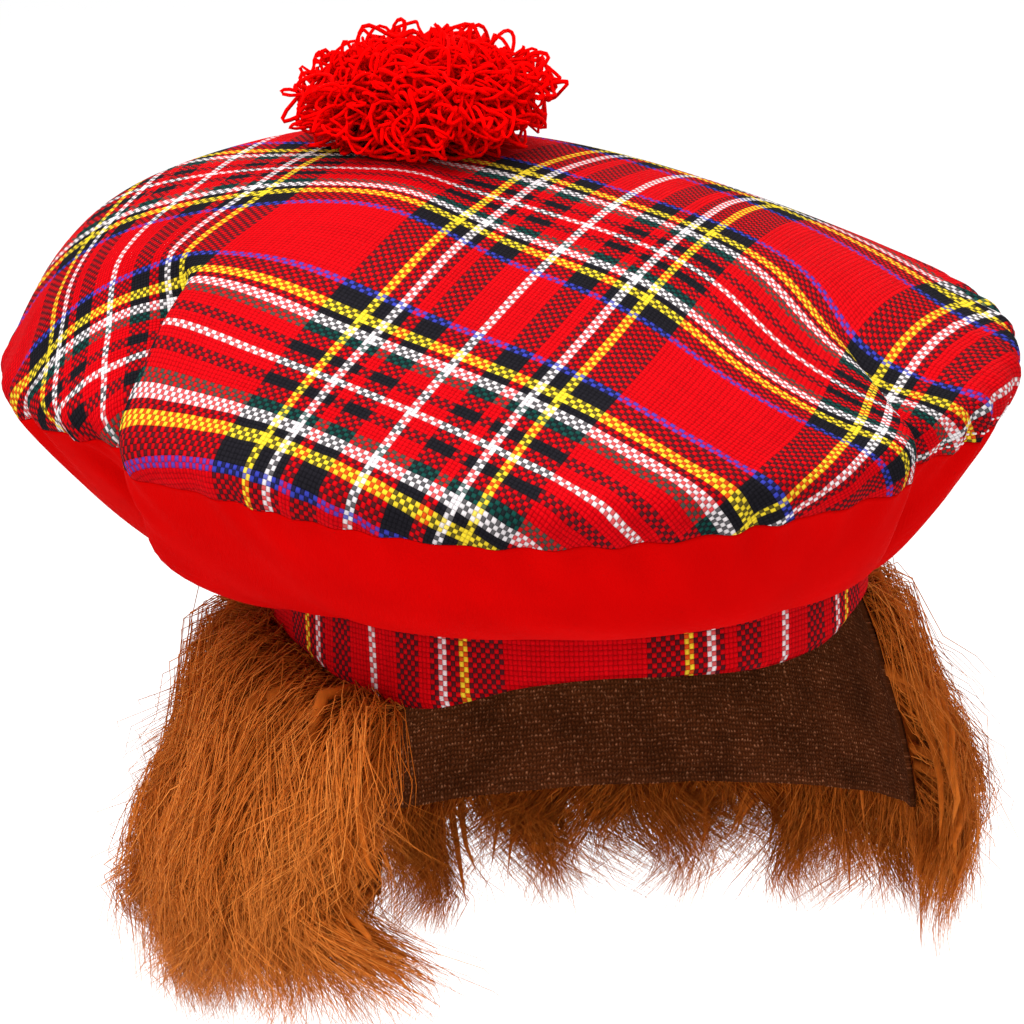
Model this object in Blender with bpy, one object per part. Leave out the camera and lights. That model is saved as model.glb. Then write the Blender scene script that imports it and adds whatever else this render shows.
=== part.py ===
"""Tam o' shanter with hair: a slouched tartan crown over a plain underside, a tartan headband,
a yarn pompom on the crown's peak and a panel of long-pile fur hanging round the sides and back.

Metres, +Z up, the wearer's face towards -Y. The origin is the middle of the head opening, level
with the headband's mean lower edge. An azimuth is measured from the front, towards +X.
"""

import math
from collections import namedtuple

import bmesh
import bpy
import numpy as np
from mathutils import Vector

# Head opening and headband
HEAD_WIDTH = 0.165
HEAD_LENGTH = 0.193
BAND_WALL = 0.0025
BAND_HEIGHT = 0.027
BAND_SAG = 0.012

# Crown and underside. The eases are how far the cloth runs on before it turns at the rim, as
# shares of the roll's bulge and of its lean.
CROWN_RADIUS = 0.148
CROWN_WALL = 0.0018
CROWN_OFFSET_X = -0.010
CROWN_OFFSET_Y = 0.013
PEAK_HEIGHT = 0.124
SEAM_HEIGHT = 0.064
ROLL_HEIGHT = 0.016
ROLL_BULGE = 0.005
SEAM_TUCK = 0.003
SHOULDER_EASE = 1.6
SEAM_EASE = 1.4
UNDERSIDE_WALL = 0.0018
UNDERSIDE_JOINT = 0.016
UNDERSIDE_SLACK = 0.030
FOLD_DEPTH = 0.017
FOLD_WIDTH = 0.014

# Fur panel
BACKING_WALL = 0.0015
BACKING_TUCK = 0.008
PANEL_END_DEG = 62.0
PANEL_DROP_BACK = 0.088
PANEL_DROP_FRONT = 0.063
PANEL_FLARE = 0.015
FLARE_EASE = 1.6
PILE_DEPTH = 0.016
LOCK_LENGTH = 0.058
LOCK_WIDTH = 0.025
LOCK_THICKNESS = 0.013
LOCK_COLUMNS = 15
LOCK_SIDES = 5
LOCK_VARIATION = 0.16
# Sideways sway of a lock's tip in columns, and how far the locks at the panel's front ends lean
# past them, as a share of the panel, with the power that keeps the lean to the ends
LOCK_SWAY = 0.3
LOCK_END_LEAN = 0.09
LOCK_LEAN_POWER = 7
LOCK_END_MARGIN = 0.02

# Pompom
POMPOM_WIDTH = 0.084
POMPOM_HEIGHT = 0.043
POMPOM_SEAT = 0.0055
POMPOM_CORE = 0.86
TUFT_COUNT = 38
TUFT_WIDTH = 0.0165
TUFT_SIDES = 5
TUFT_SEAT = 0.001
# Sideways bend of a tuft and its change of length, and how far round the ball from its top the
# tufts reach, where 2 is all of it
TUFT_BEND = 0.22
TUFT_VARIATION = 0.05
TUFT_SPAN = 1.62

# Sewn edges meet face to face with this clearance
GAP = 0.0003
# Clearance between round walls whose facets don't line up
ROUND_GAP = 0.0007

# Mesh density
COARSE_STEP_DEG = 9.0
FINE_STEP_DEG = 2.6
BAND_STEPS = 48
PANEL_STEPS = 30
CORE_SEGMENTS = 14
CORE_RINGS = 9
FOLD_MARGIN_DEG = 10.0

Finish = namedtuple("Finish", "colour roughness")
FINISHES = {
    "crown": Finish((0.62, 0.02, 0.02), 0.85),
    "underside": Finish((0.68, 0.005, 0.004), 0.80),
    "headband": Finish((0.55, 0.02, 0.03), 0.85),
    "hair_backing": Finish((0.16, 0.06, 0.03), 0.95),
    "hair_pile": Finish((0.42, 0.15, 0.035), 0.70),
    "pompom": Finish((0.70, 0.01, 0.01), 0.80),
}

Section = namedtuple("Section", "azimuth_deg reach seam fullness slack")
# Reach is a share of CROWN_RADIUS, seam of SEAM_HEIGHT and slack of UNDERSIDE_SLACK. Fullness is
# the power of the crown's profile from peak to rim: 1 is a straight slope, 3 a full dome.
CROWN_SECTIONS = (
    Section(-24, 1.00, 0.80, 1.75, 1.30),
    Section(21, 1.00, 0.81, 1.60, 0.60),
    Section(66, 1.00, 0.93, 1.55, 0.10),
    Section(111, 0.98, 1.07, 1.90, 0.50),
    Section(156, 0.99, 1.17, 3.50, 1.00),
    Section(201, 0.99, 1.17, 5.50, 1.00),
    Section(246, 1.00, 1.07, 6.50, 1.10),
    Section(291, 1.00, 1.02, 3.20, 1.35),
)

Fold = namedtuple("Fold", "start_deg start_reach end_deg depth left right")
# A fold is a valley from a start inside the crown to the rim, and it goes on into the underside.
# Reach is a share of CROWN_RADIUS and depth of FOLD_DEPTH. Left and right are the widths of the
# valley's two sides, looking outwards, as shares of FOLD_WIDTH.
FOLDS = (
    Fold(-98, 0.66, -79, 1.00, 0.85, 1.80),
    Fold(63, 0.58, 29, 0.62, 1.40, 0.85),
)

Sag = namedtuple("Sag", "azimuth_deg drop")
# How far the headband's lower edge hangs below the origin, as a share of BAND_SAG.
BAND_EDGE = (
    Sag(-90, 0.25),
    Sag(-57, 0.80),
    Sag(-36, 0.05),
    Sag(25, 0.00),
    Sag(55, -0.50),
    Sag(90, -0.10),
    Sag(180, 0.00),
)

Pile = namedtuple("Pile", "depth skin lock")
# The pile's solid skin and the middle of the locks on it, outwards of the backing as shares of
# PILE_DEPTH. Depth is a share of the panel's height, and past 1 it is below the backing's edge.
PILE_PROFILE = (
    Pile(0.00, 0.18, 0.20),
    Pile(0.18, 0.55, 0.62),
    Pile(0.45, 0.80, 0.92),
    Pile(0.80, 0.80, 1.12),
    Pile(1.00, 0.55, 1.10),
    Pile(1.55, 0.30, 0.85),
)

Spread = namedtuple("Spread", "azimuth_deg depth")
# How far the pile stands out round the hat, as a share of PILE_DEPTH.
PILE_SPREAD = (
    Spread(60, 0.90),
    Spread(110, 1.05),
    Spread(180, 1.00),
    Spread(235, 1.55),
    Spread(300, 1.40),
)

LockRow = namedtuple("LockRow", "root length lift shift")
# Root is how far down the panel a row of locks grows, length a share of LOCK_LENGTH, lift a
# share of PILE_DEPTH added to the profile, and shift is in columns.
LOCK_ROWS = (
    LockRow(0.04, 0.92, 0.18, 0.75),
    LockRow(0.36, 1.00, 0.06, 0.25),
    LockRow(0.66, 1.00, -0.10, 0.75),
)

# Places along a lock from root to tip, and its girth at all but the tip
LOCK_PARTS = (0.0, 0.28, 0.66, 1.0)
LOCK_TAPER = (0.55, 1.0, 0.66)

# Places along a tuft as shares of the pompom's size, and its girth at all but the tip
TUFT_PARTS = (0.55, 0.80, 0.96, 1.00)
TUFT_TAPER = (0.75, 1.0, 0.62)

# Rows of the fur panel, as shares of its height below the headband
PANEL_PARTS = (0.0, 0.18, 0.45, 0.75, 1.0)


def smooth_step(value):
    """0 below 0, 1 above 1, with level ends."""
    clipped = np.clip(value, 0.0, 1.0)
    return clipped * clipped * (3.0 - 2.0 * clipped)


def around(azimuth_deg, rows, column):
    """A column of a table, read smoothly at any azimuth round the hat."""
    knots = np.array([row.azimuth_deg for row in rows], float)
    values = np.tile([getattr(row, column) for row in rows], 3)
    knots = np.concatenate([knots - 360, knots, knots + 360])
    slopes = np.gradient(values, knots)
    first = rows[0].azimuth_deg
    wrapped = (np.asarray(azimuth_deg, float) - first) % 360 + first
    low = np.searchsorted(knots, wrapped, side="right") - 1
    span = knots[low + 1] - knots[low]
    t = (wrapped - knots[low]) / span
    rise = t * t * (3 - 2 * t)
    lead = t * (1 - t) ** 2 * span * slopes[low]
    trail = t * t * (t - 1) * span * slopes[low + 1]
    return values[low] * (1 - rise) + values[low + 1] * rise + lead + trail


def bezier(p0, p1, p2, p3, t):
    """Points of a cubic curve at the parameters t, for arrays of control points."""
    t = np.asarray(t, float)[None, :, None]
    p0, p1, p2, p3 = (p[:, None, :] for p in (p0, p1, p2, p3))
    return (1 - t) ** 3 * p0 + 3 * t * (1 - t) ** 2 * p1 + 3 * t * t * (1 - t) * p2 + t**3 * p3


def compass(azimuth_deg):
    """Unit vectors in the plan, one for each azimuth."""
    angle = np.radians(azimuth_deg)
    return np.stack([np.sin(angle), -np.cos(angle), np.zeros_like(angle)], axis=-1)


def head_oval(azimuth_deg, offset, height):
    """Points on an oval round the head, offset outwards from the headband's inner face."""
    angle = np.radians(azimuth_deg)
    half = np.array([HEAD_WIDTH / 2, HEAD_LENGTH / 2])
    point = np.stack([half[0] * np.sin(angle), -half[1] * np.cos(angle)], axis=-1)
    normal = np.stack([np.sin(angle) / half[0], -np.cos(angle) / half[1]], axis=-1)
    normal /= np.linalg.norm(normal, axis=-1, keepdims=True)
    flat = point + normal * np.asarray(offset)[..., None]
    level = np.broadcast_to(np.asarray(height, float), angle.shape)
    return np.concatenate([flat, level[..., None]], axis=-1)


def band_edge(azimuth_deg):
    """Height of the headband's lower edge."""
    return -BAND_SAG * around(azimuth_deg, BAND_EDGE, "drop")


UP = np.array([0.0, 0.0, 1.0])
CROWN_CENTRE = np.array([CROWN_OFFSET_X, CROWN_OFFSET_Y, 0.0])
# The peak lies behind the crown's middle, by shares of its radius
PEAK_PLACE = (0.034, 0.446)
PEAK = CROWN_CENTRE + np.array([*(CROWN_RADIUS * share for share in PEAK_PLACE), PEAK_HEIGHT])
# Rows of the top from peak to shoulder, of the roll from there to the seam, and of the underside
# from the seam to the headband, as shares of each
TOP_SHARES = np.array([0.12, 0.30, 0.46, 0.60, 0.72, 0.82, 0.90, 0.96, 1.0])
ROLL_SHARES = np.array([0.33, 0.66, 1.0])
UNDER_SHARES = np.array([0.2, 0.4, 0.6, 0.8, 1.0])
SEAM_ROW = len(TOP_SHARES) + len(ROLL_SHARES) - 1


def hat_profile(azimuth_deg):
    """Rows of points from near the peak over the rim to the headband, before the folds."""
    count = len(azimuth_deg)
    out = compass(azimuth_deg)
    reach = CROWN_RADIUS * around(azimuth_deg, CROWN_SECTIONS, "reach")[:, None]
    seam_height = SEAM_HEIGHT * around(azimuth_deg, CROWN_SECTIONS, "seam")
    fullness = around(azimuth_deg, CROWN_SECTIONS, "fullness")[:, None]

    seam = CROWN_CENTRE + out * (reach - SEAM_TUCK) + UP * seam_height[:, None]
    shoulder = CROWN_CENTRE + out * (reach - ROLL_BULGE) + UP * (seam_height + ROLL_HEIGHT)[:, None]
    share = TOP_SHARES[None, :]
    top = PEAK + (shoulder - PEAK)[:, None, :] * share[..., None]
    rise = (PEAK[2] - shoulder[:, 2])[:, None]
    top[..., 2] = shoulder[:, 2][:, None] + rise * (1 - share**fullness)

    slope = shoulder - PEAK
    slope[:, 2] *= fullness[:, 0]
    slope /= np.linalg.norm(slope, axis=-1, keepdims=True)
    lean = out * ROLL_BULGE + UP * (ROLL_HEIGHT / 2)
    roll = bezier(shoulder, shoulder + slope * ROLL_BULGE * SHOULDER_EASE, seam + lean, seam, ROLL_SHARES)

    joint = head_oval(azimuth_deg, BAND_WALL + ROUND_GAP, UNDERSIDE_JOINT)
    slack = UNDERSIDE_SLACK * around(azimuth_deg, CROWN_SECTIONS, "slack")
    outward = head_oval(azimuth_deg, BAND_WALL + ROUND_GAP + slack, UNDERSIDE_JOINT)
    under = bezier(seam, seam - lean * SEAM_EASE, outward, joint, UNDER_SHARES)
    return np.concatenate([top, roll, under], axis=1).reshape(count, -1, 3)


def normals_of(grid):
    """Outward unit normals of a grid of points that closes round the hat."""
    along = np.gradient(grid, axis=1)
    wrapped = np.concatenate([grid[-1:], grid, grid[:1]], axis=0)
    across = (wrapped[2:] - wrapped[:-2]) / 2
    normal = np.cross(along, across)
    return normal / np.linalg.norm(normal, axis=-1, keepdims=True)


def folded(grid, azimuth_deg):
    """The grid with the folds pressed in: downwards on the top, and inwards at the rim."""
    rows = np.arange(grid.shape[1])
    last = grid.shape[1] - 1
    fade = 1 - smooth_step((rows - SEAM_ROW) / (last - SEAM_ROW))
    turn = np.concatenate([TOP_SHARES**1.5, np.ones(last + 1 - len(TOP_SHARES))])
    tilt = np.radians(20 + 70 * turn)[None, :, None]
    press = -(compass(azimuth_deg)[:, None, :] * np.sin(tilt) + UP * np.cos(tilt))
    depth = np.zeros(grid.shape[:2])
    for fold in FOLDS:
        start = CROWN_CENTRE + compass(fold.start_deg) * CROWN_RADIUS * fold.start_reach
        end = CROWN_CENTRE + compass(fold.end_deg) * CROWN_RADIUS
        run = (end - start)[:2]
        length = np.linalg.norm(run)
        run = run / length
        offset = grid[..., :2] - start[:2]
        along = offset @ run / length
        across = offset @ np.array([-run[1], run[0]])
        width = FOLD_WIDTH * np.where(across > 0, fold.left, fold.right)
        valley = np.exp(-((across / width) ** 2))
        depth += FOLD_DEPTH * fold.depth * smooth_step(along) * valley * fade[None, :]
    return grid + press * depth[..., None]


def hat_azimuths():
    """Azimuths of the crown's columns, closer together where a fold crosses them."""
    azimuths = []
    azimuth = -180.0
    while azimuth < 180.0 - FINE_STEP_DEG / 2:
        azimuths.append(azimuth)
        ends = [sorted((fold.start_deg, fold.end_deg)) for fold in FOLDS]
        near = any(low - FOLD_MARGIN_DEG < azimuth < high + FOLD_MARGIN_DEG for low, high in ends)
        azimuth += FINE_STEP_DEG if near else COARSE_STEP_DEG
    return np.array(azimuths)


def new_object(name, mesh):
    """An object in the hat's collection with a plain material of its own."""
    finish = FINISHES[name]
    made = bpy.data.objects.new(name, mesh)
    material = bpy.data.materials.new(name)
    material.use_nodes = True
    shader = material.node_tree.nodes["Principled BSDF"]
    shader.inputs["Base Color"].default_value = (*finish.colour, 1.0)
    shader.inputs["Roughness"].default_value = finish.roughness
    shader.inputs["Metallic"].default_value = 0.0
    mesh.materials.append(material)
    HAT.objects.link(made)
    return made


def shade(mesh, angle_deg=40):
    """Smooth shading, with sharp edges kept."""
    mesh.shade_smooth()
    mesh.set_sharp_from_angle(angle=math.radians(angle_deg))


def wall_mesh(name, outer, inner, closed_round, tip=None):
    """A closed wall between two grids of points. A tip is the outer and inner point that closes
    the first row of a dome."""
    made = bmesh.new()
    skins = [[[made.verts.new(p) for p in column] for column in grid] for grid in (outer, inner)]
    columns, rows = len(outer), len(outer[0])
    pairs = [(i, (i + 1) % columns) for i in range(columns if closed_round else columns - 1)]
    out, into = skins
    for i, j in pairs:
        for k in range(rows - 1):
            made.faces.new((out[i][k], out[i][k + 1], out[j][k + 1], out[j][k]))
            made.faces.new((into[i][k], into[j][k], into[j][k + 1], into[i][k + 1]))
        made.faces.new((out[i][-1], into[i][-1], into[j][-1], out[j][-1]))
        if tip is None:
            made.faces.new((out[i][0], out[j][0], into[j][0], into[i][0]))
    if tip is not None:
        peaks = [made.verts.new(p) for p in tip]
        for i, j in pairs:
            made.faces.new((peaks[0], out[i][0], out[j][0]))
            made.faces.new((peaks[1], into[j][0], into[i][0]))
    if not closed_round:
        for k in range(rows - 1):
            made.faces.new((out[0][k], into[0][k], into[0][k + 1], out[0][k + 1]))
            made.faces.new((out[-1][k], out[-1][k + 1], into[-1][k + 1], into[-1][k]))
    bmesh.ops.recalc_face_normals(made, faces=made.faces)
    bmesh.ops.triangulate(made, faces=made.faces)
    mesh = bpy.data.meshes.new(name)
    made.to_mesh(mesh)
    made.free()
    shade(mesh)
    return mesh


def build_crown_and_underside():
    """The tartan top down to the rim's seam, and the plain underside from there to the headband."""
    azimuths = hat_azimuths()
    outer = folded(hat_profile(azimuths), azimuths)
    normals = normals_of(outer)
    normals[:, -1] = (0.0, 0.0, -1.0)

    seam = outer[:, SEAM_ROW]
    before = outer[:, SEAM_ROW - 1] - seam
    after = outer[:, SEAM_ROW + 1] - seam
    step_back = before / np.linalg.norm(before, axis=-1, keepdims=True) * GAP / 2
    step_on = after / np.linalg.norm(after, axis=-1, keepdims=True) * GAP / 2

    top = outer[:, : SEAM_ROW + 1].copy()
    top[:, -1] = seam + step_back
    top_inner = top - normals[:, : SEAM_ROW + 1] * CROWN_WALL
    peak = Vector(PEAK)
    tip = (peak, peak - Vector((0, 0, CROWN_WALL)))
    mesh = wall_mesh("crown", top, top_inner, True, tip)
    new_object("crown", mesh)

    under = outer[:, SEAM_ROW:].copy()
    under[:, 0] = seam + step_on
    under_inner = under - normals[:, SEAM_ROW:] * UNDERSIDE_WALL
    mesh = wall_mesh("underside", under, under_inner, True)
    new_object("underside", mesh)


def build_headband():
    """The tartan band that holds the hat on the head."""
    azimuths = np.linspace(-180, 180, BAND_STEPS, endpoint=False)
    heights = np.stack([np.full(BAND_STEPS, BAND_HEIGHT), band_edge(azimuths)], axis=1)
    outer, inner = (
        np.stack([head_oval(azimuths, offset, heights[:, row]) for row in range(2)], axis=1)
        for offset in (BAND_WALL, 0.0)
    )
    mesh = wall_mesh("headband", outer, inner, True)
    new_object("headband", mesh)


def panel_azimuth(share):
    """Azimuth on the head's oval, from one front end of the fur panel round the back to the other."""
    return PANEL_END_DEG + np.asarray(share, float) * (360 - 2 * PANEL_END_DEG)


def panel_foot(share):
    """Height of the fur backing's lower edge, lowest at the back of the head."""
    backness = np.sin(np.pi * np.asarray(share, float))
    return -(PANEL_DROP_FRONT + (PANEL_DROP_BACK - PANEL_DROP_FRONT) * backness)


def panel_point(share, depth, offset):
    """A point of the fur panel: share round it, depth from its top edge at 0 to its lower edge
    at 1, and offset outwards from the backing's inner face."""
    azimuth = panel_azimuth(share)
    foot = panel_foot(share)
    height = BACKING_TUCK + (foot - BACKING_TUCK) * np.asarray(depth, float)
    clear = band_edge(azimuth) - BAND_WALL
    below = np.clip((clear - height) / (clear - foot), 0.0, 1.0)
    flare = PANEL_FLARE * (1 - (1 - below) ** FLARE_EASE)
    inner_face = -(GAP + BACKING_WALL)
    return head_oval(azimuth, inner_face + flare + offset, height)


def panel_depth_below_band(share):
    """Depth share at which the panel comes clear below the headband's edge."""
    clear = band_edge(panel_azimuth(share)) - ROUND_GAP
    return (BACKING_TUCK - clear) / (BACKING_TUCK - panel_foot(share))


def panel_rows(shares):
    """Depth shares of the panel's rows from the headband's edge down to its own."""
    start = panel_depth_below_band(shares)
    return [start + (1 - start) * part for part in PANEL_PARTS]


def build_backing():
    """The knitted ground of the fur, sewn inside the headband and open at the face."""
    shares = np.linspace(0, 1, PANEL_STEPS + 1)
    rows = [np.zeros_like(shares), *panel_rows(shares)]
    outer, inner = (
        np.stack([panel_point(shares, depth, offset) for depth in rows], axis=1)
        for offset in (BACKING_WALL, 0.0)
    )
    mesh = wall_mesh("hair_backing", outer, inner, False)
    new_object("hair_backing", mesh)


def lock_mesh(name, path, widths, thicknesses, across, sides):
    """A closed tapering lock of pile along a path, flattened across its own width."""
    made = bmesh.new()
    rings = []
    for k, point in enumerate(path[:-1]):
        ahead = (path[k + 1] - path[max(k - 1, 0)]).normalized()
        deep = ahead.cross(across).normalized()
        wide = deep.cross(ahead).normalized()
        ring = []
        for side in range(sides):
            angle = 2 * math.pi * side / sides
            offset = wide * (math.cos(angle) * widths[k]) + deep * (math.sin(angle) * thicknesses[k])
            ring.append(made.verts.new(point + offset))
        rings.append(ring)
    end = made.verts.new(path[-1])
    for first, second in zip(rings, rings[1:]):
        for i in range(sides):
            j = (i + 1) % sides
            made.faces.new((first[i], first[j], second[j], second[i]))
    for i in range(sides):
        made.faces.new((rings[-1][i], rings[-1][(i + 1) % sides], end))
    made.faces.new(rings[0][::-1])
    bmesh.ops.recalc_face_normals(made, faces=made.faces)
    mesh = bpy.data.meshes.new(name)
    made.to_mesh(mesh)
    made.free()
    return mesh


def helper_object(name, mesh, collection):
    """An operand of a Boolean, left out of the finished hat."""
    made = bpy.data.objects.new(name, mesh)
    made.display_type = "WIRE"
    made.hide_render = True
    collection.objects.link(made)
    return made


def fuse(base, collection):
    """Joins everything in a collection to the base as one body."""
    union = base.modifiers.new("fuse", "BOOLEAN")
    union.operation = "UNION"
    union.operand_type = "COLLECTION"
    union.collection = collection


def read_table(rows, key, column, place):
    """A column of a table that doesn't close round the hat, read in straight lines."""
    return np.interp(place, [getattr(row, key) for row in rows], [getattr(row, column) for row in rows])


def pile_offset(share, depth, column):
    """A column of the pile's profile at a place on the panel, outwards of the backing's inner face."""
    stand = PILE_DEPTH * read_table(PILE_SPREAD, "azimuth_deg", "depth", panel_azimuth(share))
    return BACKING_WALL + GAP + stand * read_table(PILE_PROFILE, "depth", column, depth)


def lock_path(share, root, length, lift, sway):
    """Points down the middle of a lock that hangs from a place on the panel."""
    path = []
    for part in LOCK_PARTS:
        depth = root + length * part / (BACKING_TUCK - panel_foot(share))
        offset = pile_offset(share, depth, "lock") + lift * PILE_DEPTH * math.sin(math.pi * part)
        path.append(Vector(panel_point(share + sway * part, depth, offset)))
    return path


def build_pile():
    """The fur's pile: a skin outside the backing, with hanging locks fused to it."""
    shares = np.linspace(0, 1, PANEL_STEPS + 1)
    rows = panel_rows(shares)
    inner = np.stack([panel_point(shares, depth, BACKING_WALL + GAP) for depth in rows], axis=1)
    skin = [panel_point(shares, depth, pile_offset(shares, depth, "skin")) for depth in rows]
    outer = np.stack(skin, axis=1)
    base = new_object("hair_pile", wall_mesh("hair_pile", outer, inner, False))

    locks = bpy.data.collections.new("pile_locks")
    bpy.context.scene.collection.children.link(locks)
    rng = np.random.default_rng(11)
    for row_index, row in enumerate(LOCK_ROWS):
        for column in range(LOCK_COLUMNS):
            share = (column + row.shift) / LOCK_COLUMNS
            share = min(max(share, LOCK_END_MARGIN), 1 - LOCK_END_MARGIN)
            start = float(panel_depth_below_band(share))
            root = start + (1 - start) * row.root
            length = LOCK_LENGTH * row.length * (1 + rng.uniform(-LOCK_VARIATION, LOCK_VARIATION))
            sway = rng.uniform(-LOCK_SWAY, LOCK_SWAY) / LOCK_COLUMNS
            sway += LOCK_END_LEAN * (2 * share - 1) ** LOCK_LEAN_POWER
            path = lock_path(share, root, length, row.lift, sway)
            side = Vector(compass(panel_azimuth(share))).cross(Vector((0, 0, 1)))
            widths = [LOCK_WIDTH / 2 * scale for scale in LOCK_TAPER]
            thicknesses = [LOCK_THICKNESS / 2 * scale for scale in LOCK_TAPER]
            name = f"lock_{row_index}_{column}"
            helper_object(name, lock_mesh(name, path, widths, thicknesses, side, LOCK_SIDES), locks)
    fuse(base, locks)


def crown_height(x, y):
    """Height of the crown's top over a place near its peak, before the folds."""
    azimuths = np.arange(0.0, 360.0)
    shoulder = hat_profile(azimuths)[:, len(TOP_SHARES) - 1]
    offset = shoulder - PEAK
    bearing = np.degrees(np.arctan2(offset[:, 0], -offset[:, 1])) % 360
    order = np.argsort(bearing)
    way = math.degrees(math.atan2(x - PEAK[0], PEAK[1] - y)) % 360
    azimuth = np.interp(way, bearing[order], azimuths[order])
    reach = np.interp(way, bearing[order], np.hypot(offset[:, 0], offset[:, 1])[order])
    edge = np.interp(way, bearing[order], shoulder[order, 2])
    share = math.hypot(x - PEAK[0], y - PEAK[1]) / reach
    return edge + (PEAK[2] - edge) * (1 - share ** float(around(azimuth, CROWN_SECTIONS, "fullness")))


def seated(point, clearance):
    """The point, raised where needed to lie clear above the crown."""
    return Vector((point.x, point.y, max(point.z, crown_height(point.x, point.y) + clearance)))


def build_pompom():
    """A flattened ball of yarn on the peak: a core with tufts fused all over it."""
    half = Vector((POMPOM_WIDTH / 2, POMPOM_WIDTH / 2, POMPOM_HEIGHT / 2))
    centre = Vector(PEAK) + Vector((0, 0, half.z - POMPOM_SEAT))
    made = bmesh.new()
    bmesh.ops.create_uvsphere(made, u_segments=CORE_SEGMENTS, v_segments=CORE_RINGS, radius=POMPOM_CORE)
    for vert in made.verts:
        vert.co = seated(centre + vert.co * half, GAP)
    mesh = bpy.data.meshes.new("pompom")
    made.to_mesh(mesh)
    made.free()
    shade(mesh)
    base = new_object("pompom", mesh)

    tufts = bpy.data.collections.new("pompom_tufts")
    bpy.context.scene.collection.children.link(tufts)
    rng = np.random.default_rng(5)
    golden = math.pi * (3 - math.sqrt(5))
    for index in range(TUFT_COUNT):
        high = 1 - TUFT_SPAN * (index + 0.5) / TUFT_COUNT
        angle = golden * index
        flat = math.sqrt(max(0.0, 1 - high * high))
        way = Vector((flat * math.cos(angle), flat * math.sin(angle), high))
        across = way.cross(Vector((0, 0, 1))).normalized()
        bend = across * rng.uniform(-TUFT_BEND, TUFT_BEND)
        length = 1 + rng.uniform(-TUFT_VARIATION, TUFT_VARIATION)
        spine = [way * part * length + bend * (part - TUFT_PARTS[0]) for part in TUFT_PARTS]
        path = [centre + spot * half for spot in spine]
        widths = [TUFT_WIDTH / 2 * scale for scale in TUFT_TAPER]
        name = f"tuft_{index}"
        tuft = lock_mesh(name, path, widths, widths, across, TUFT_SIDES)
        for vert in tuft.vertices:
            vert.co = seated(vert.co, TUFT_SEAT)
        helper_object(name, tuft, tufts)
    fuse(base, tufts)


for leftover in list(bpy.data.objects):
    bpy.data.objects.remove(leftover)
HAT = bpy.data.collections.new("tam_o_shanter")
bpy.context.scene.collection.children.link(HAT)
build_crown_and_underside()
build_headband()
build_backing()
build_pile()
build_pompom()
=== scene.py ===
"""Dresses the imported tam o' shanter: tartan crown and headband, plain red underside, knitted
ground, long ginger fur and a pompom of crinkled yarn.

Metres, +Z up, the wearer's face towards -Y. An azimuth is measured from the front, towards +X.
Cloth coordinates are metres too: across counts warp ends, down counts weft picks.
"""

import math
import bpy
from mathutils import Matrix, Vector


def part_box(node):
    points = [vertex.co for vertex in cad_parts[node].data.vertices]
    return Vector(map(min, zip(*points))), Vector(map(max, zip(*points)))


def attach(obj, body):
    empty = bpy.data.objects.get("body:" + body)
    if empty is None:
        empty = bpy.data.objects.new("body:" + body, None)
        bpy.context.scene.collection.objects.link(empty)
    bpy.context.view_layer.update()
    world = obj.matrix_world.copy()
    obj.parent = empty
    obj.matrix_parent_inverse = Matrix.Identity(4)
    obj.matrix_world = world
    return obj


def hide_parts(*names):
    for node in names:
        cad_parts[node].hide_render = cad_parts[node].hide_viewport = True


bl_info = {
    "name": "Tam O' Shanter With Hair",
    "version": (1, 0, 0),
    "blender": (4, 5, 0),
    "location": "3D View > Sidebar > Tam",
    "description": "Dresses the packed hat in tartan, red cloth, knit, fur and yarn",
    "category": "Object",
}

from collections import namedtuple

import bmesh
import bpy
import numpy as np
from bpy.props import FloatProperty, FloatVectorProperty, IntProperty, PointerProperty
from mathutils import Matrix, Vector
from mathutils.bvhtree import BVHTree

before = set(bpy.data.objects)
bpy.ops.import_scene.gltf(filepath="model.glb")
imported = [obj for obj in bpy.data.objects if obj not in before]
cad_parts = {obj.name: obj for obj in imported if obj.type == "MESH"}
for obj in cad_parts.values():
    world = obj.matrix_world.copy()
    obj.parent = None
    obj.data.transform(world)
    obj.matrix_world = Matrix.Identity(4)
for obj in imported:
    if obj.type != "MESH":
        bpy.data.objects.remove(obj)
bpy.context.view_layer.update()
UP = np.array([0.0, 0.0, 1.0])

# Shape tables, with the same rows as the solids have
Section = namedtuple("Section", "azimuth_deg reach seam fullness slack")
CROWN_SECTIONS = (
    Section(-24, 1.00, 0.80, 1.75, 1.30),
    Section(21, 1.00, 0.81, 1.60, 0.60),
    Section(66, 1.00, 0.93, 1.55, 0.10),
    Section(111, 0.98, 1.07, 1.90, 0.50),
    Section(156, 0.99, 1.17, 3.50, 1.00),
    Section(201, 0.99, 1.17, 5.50, 1.00),
    Section(246, 1.00, 1.07, 6.50, 1.10),
    Section(291, 1.00, 1.02, 3.20, 1.35),
)

# Overhang is how far the cloth leans over a fold, as a share of its depth, and onset how soon it deepens
Fold = namedtuple("Fold", "start_deg start_reach end_deg depth left right overhang onset")
FOLDS = (
    Fold(-96, 0.66, -75, 1.28, 0.48, 1.65, 0.32, 2.1),
    Fold(63, 0.58, 29, 0.74, 1.40, 0.80, -0.60, 1.1),
)

Sag = namedtuple("Sag", "azimuth_deg drop")
BAND_EDGE = (
    Sag(-90, 0.25),
    Sag(-57, 0.80),
    Sag(-36, 0.05),
    Sag(25, 0.00),
    Sag(55, -0.50),
    Sag(90, -0.10),
    Sag(180, 0.00),
)

Pile = namedtuple("Pile", "depth skin lock")
PILE_PROFILE = (
    Pile(0.00, 0.18, 0.20),
    Pile(0.18, 0.55, 0.62),
    Pile(0.45, 0.80, 0.92),
    Pile(0.80, 0.80, 1.12),
    Pile(1.00, 0.55, 1.10),
    Pile(1.55, 0.30, 0.85),
)

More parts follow.
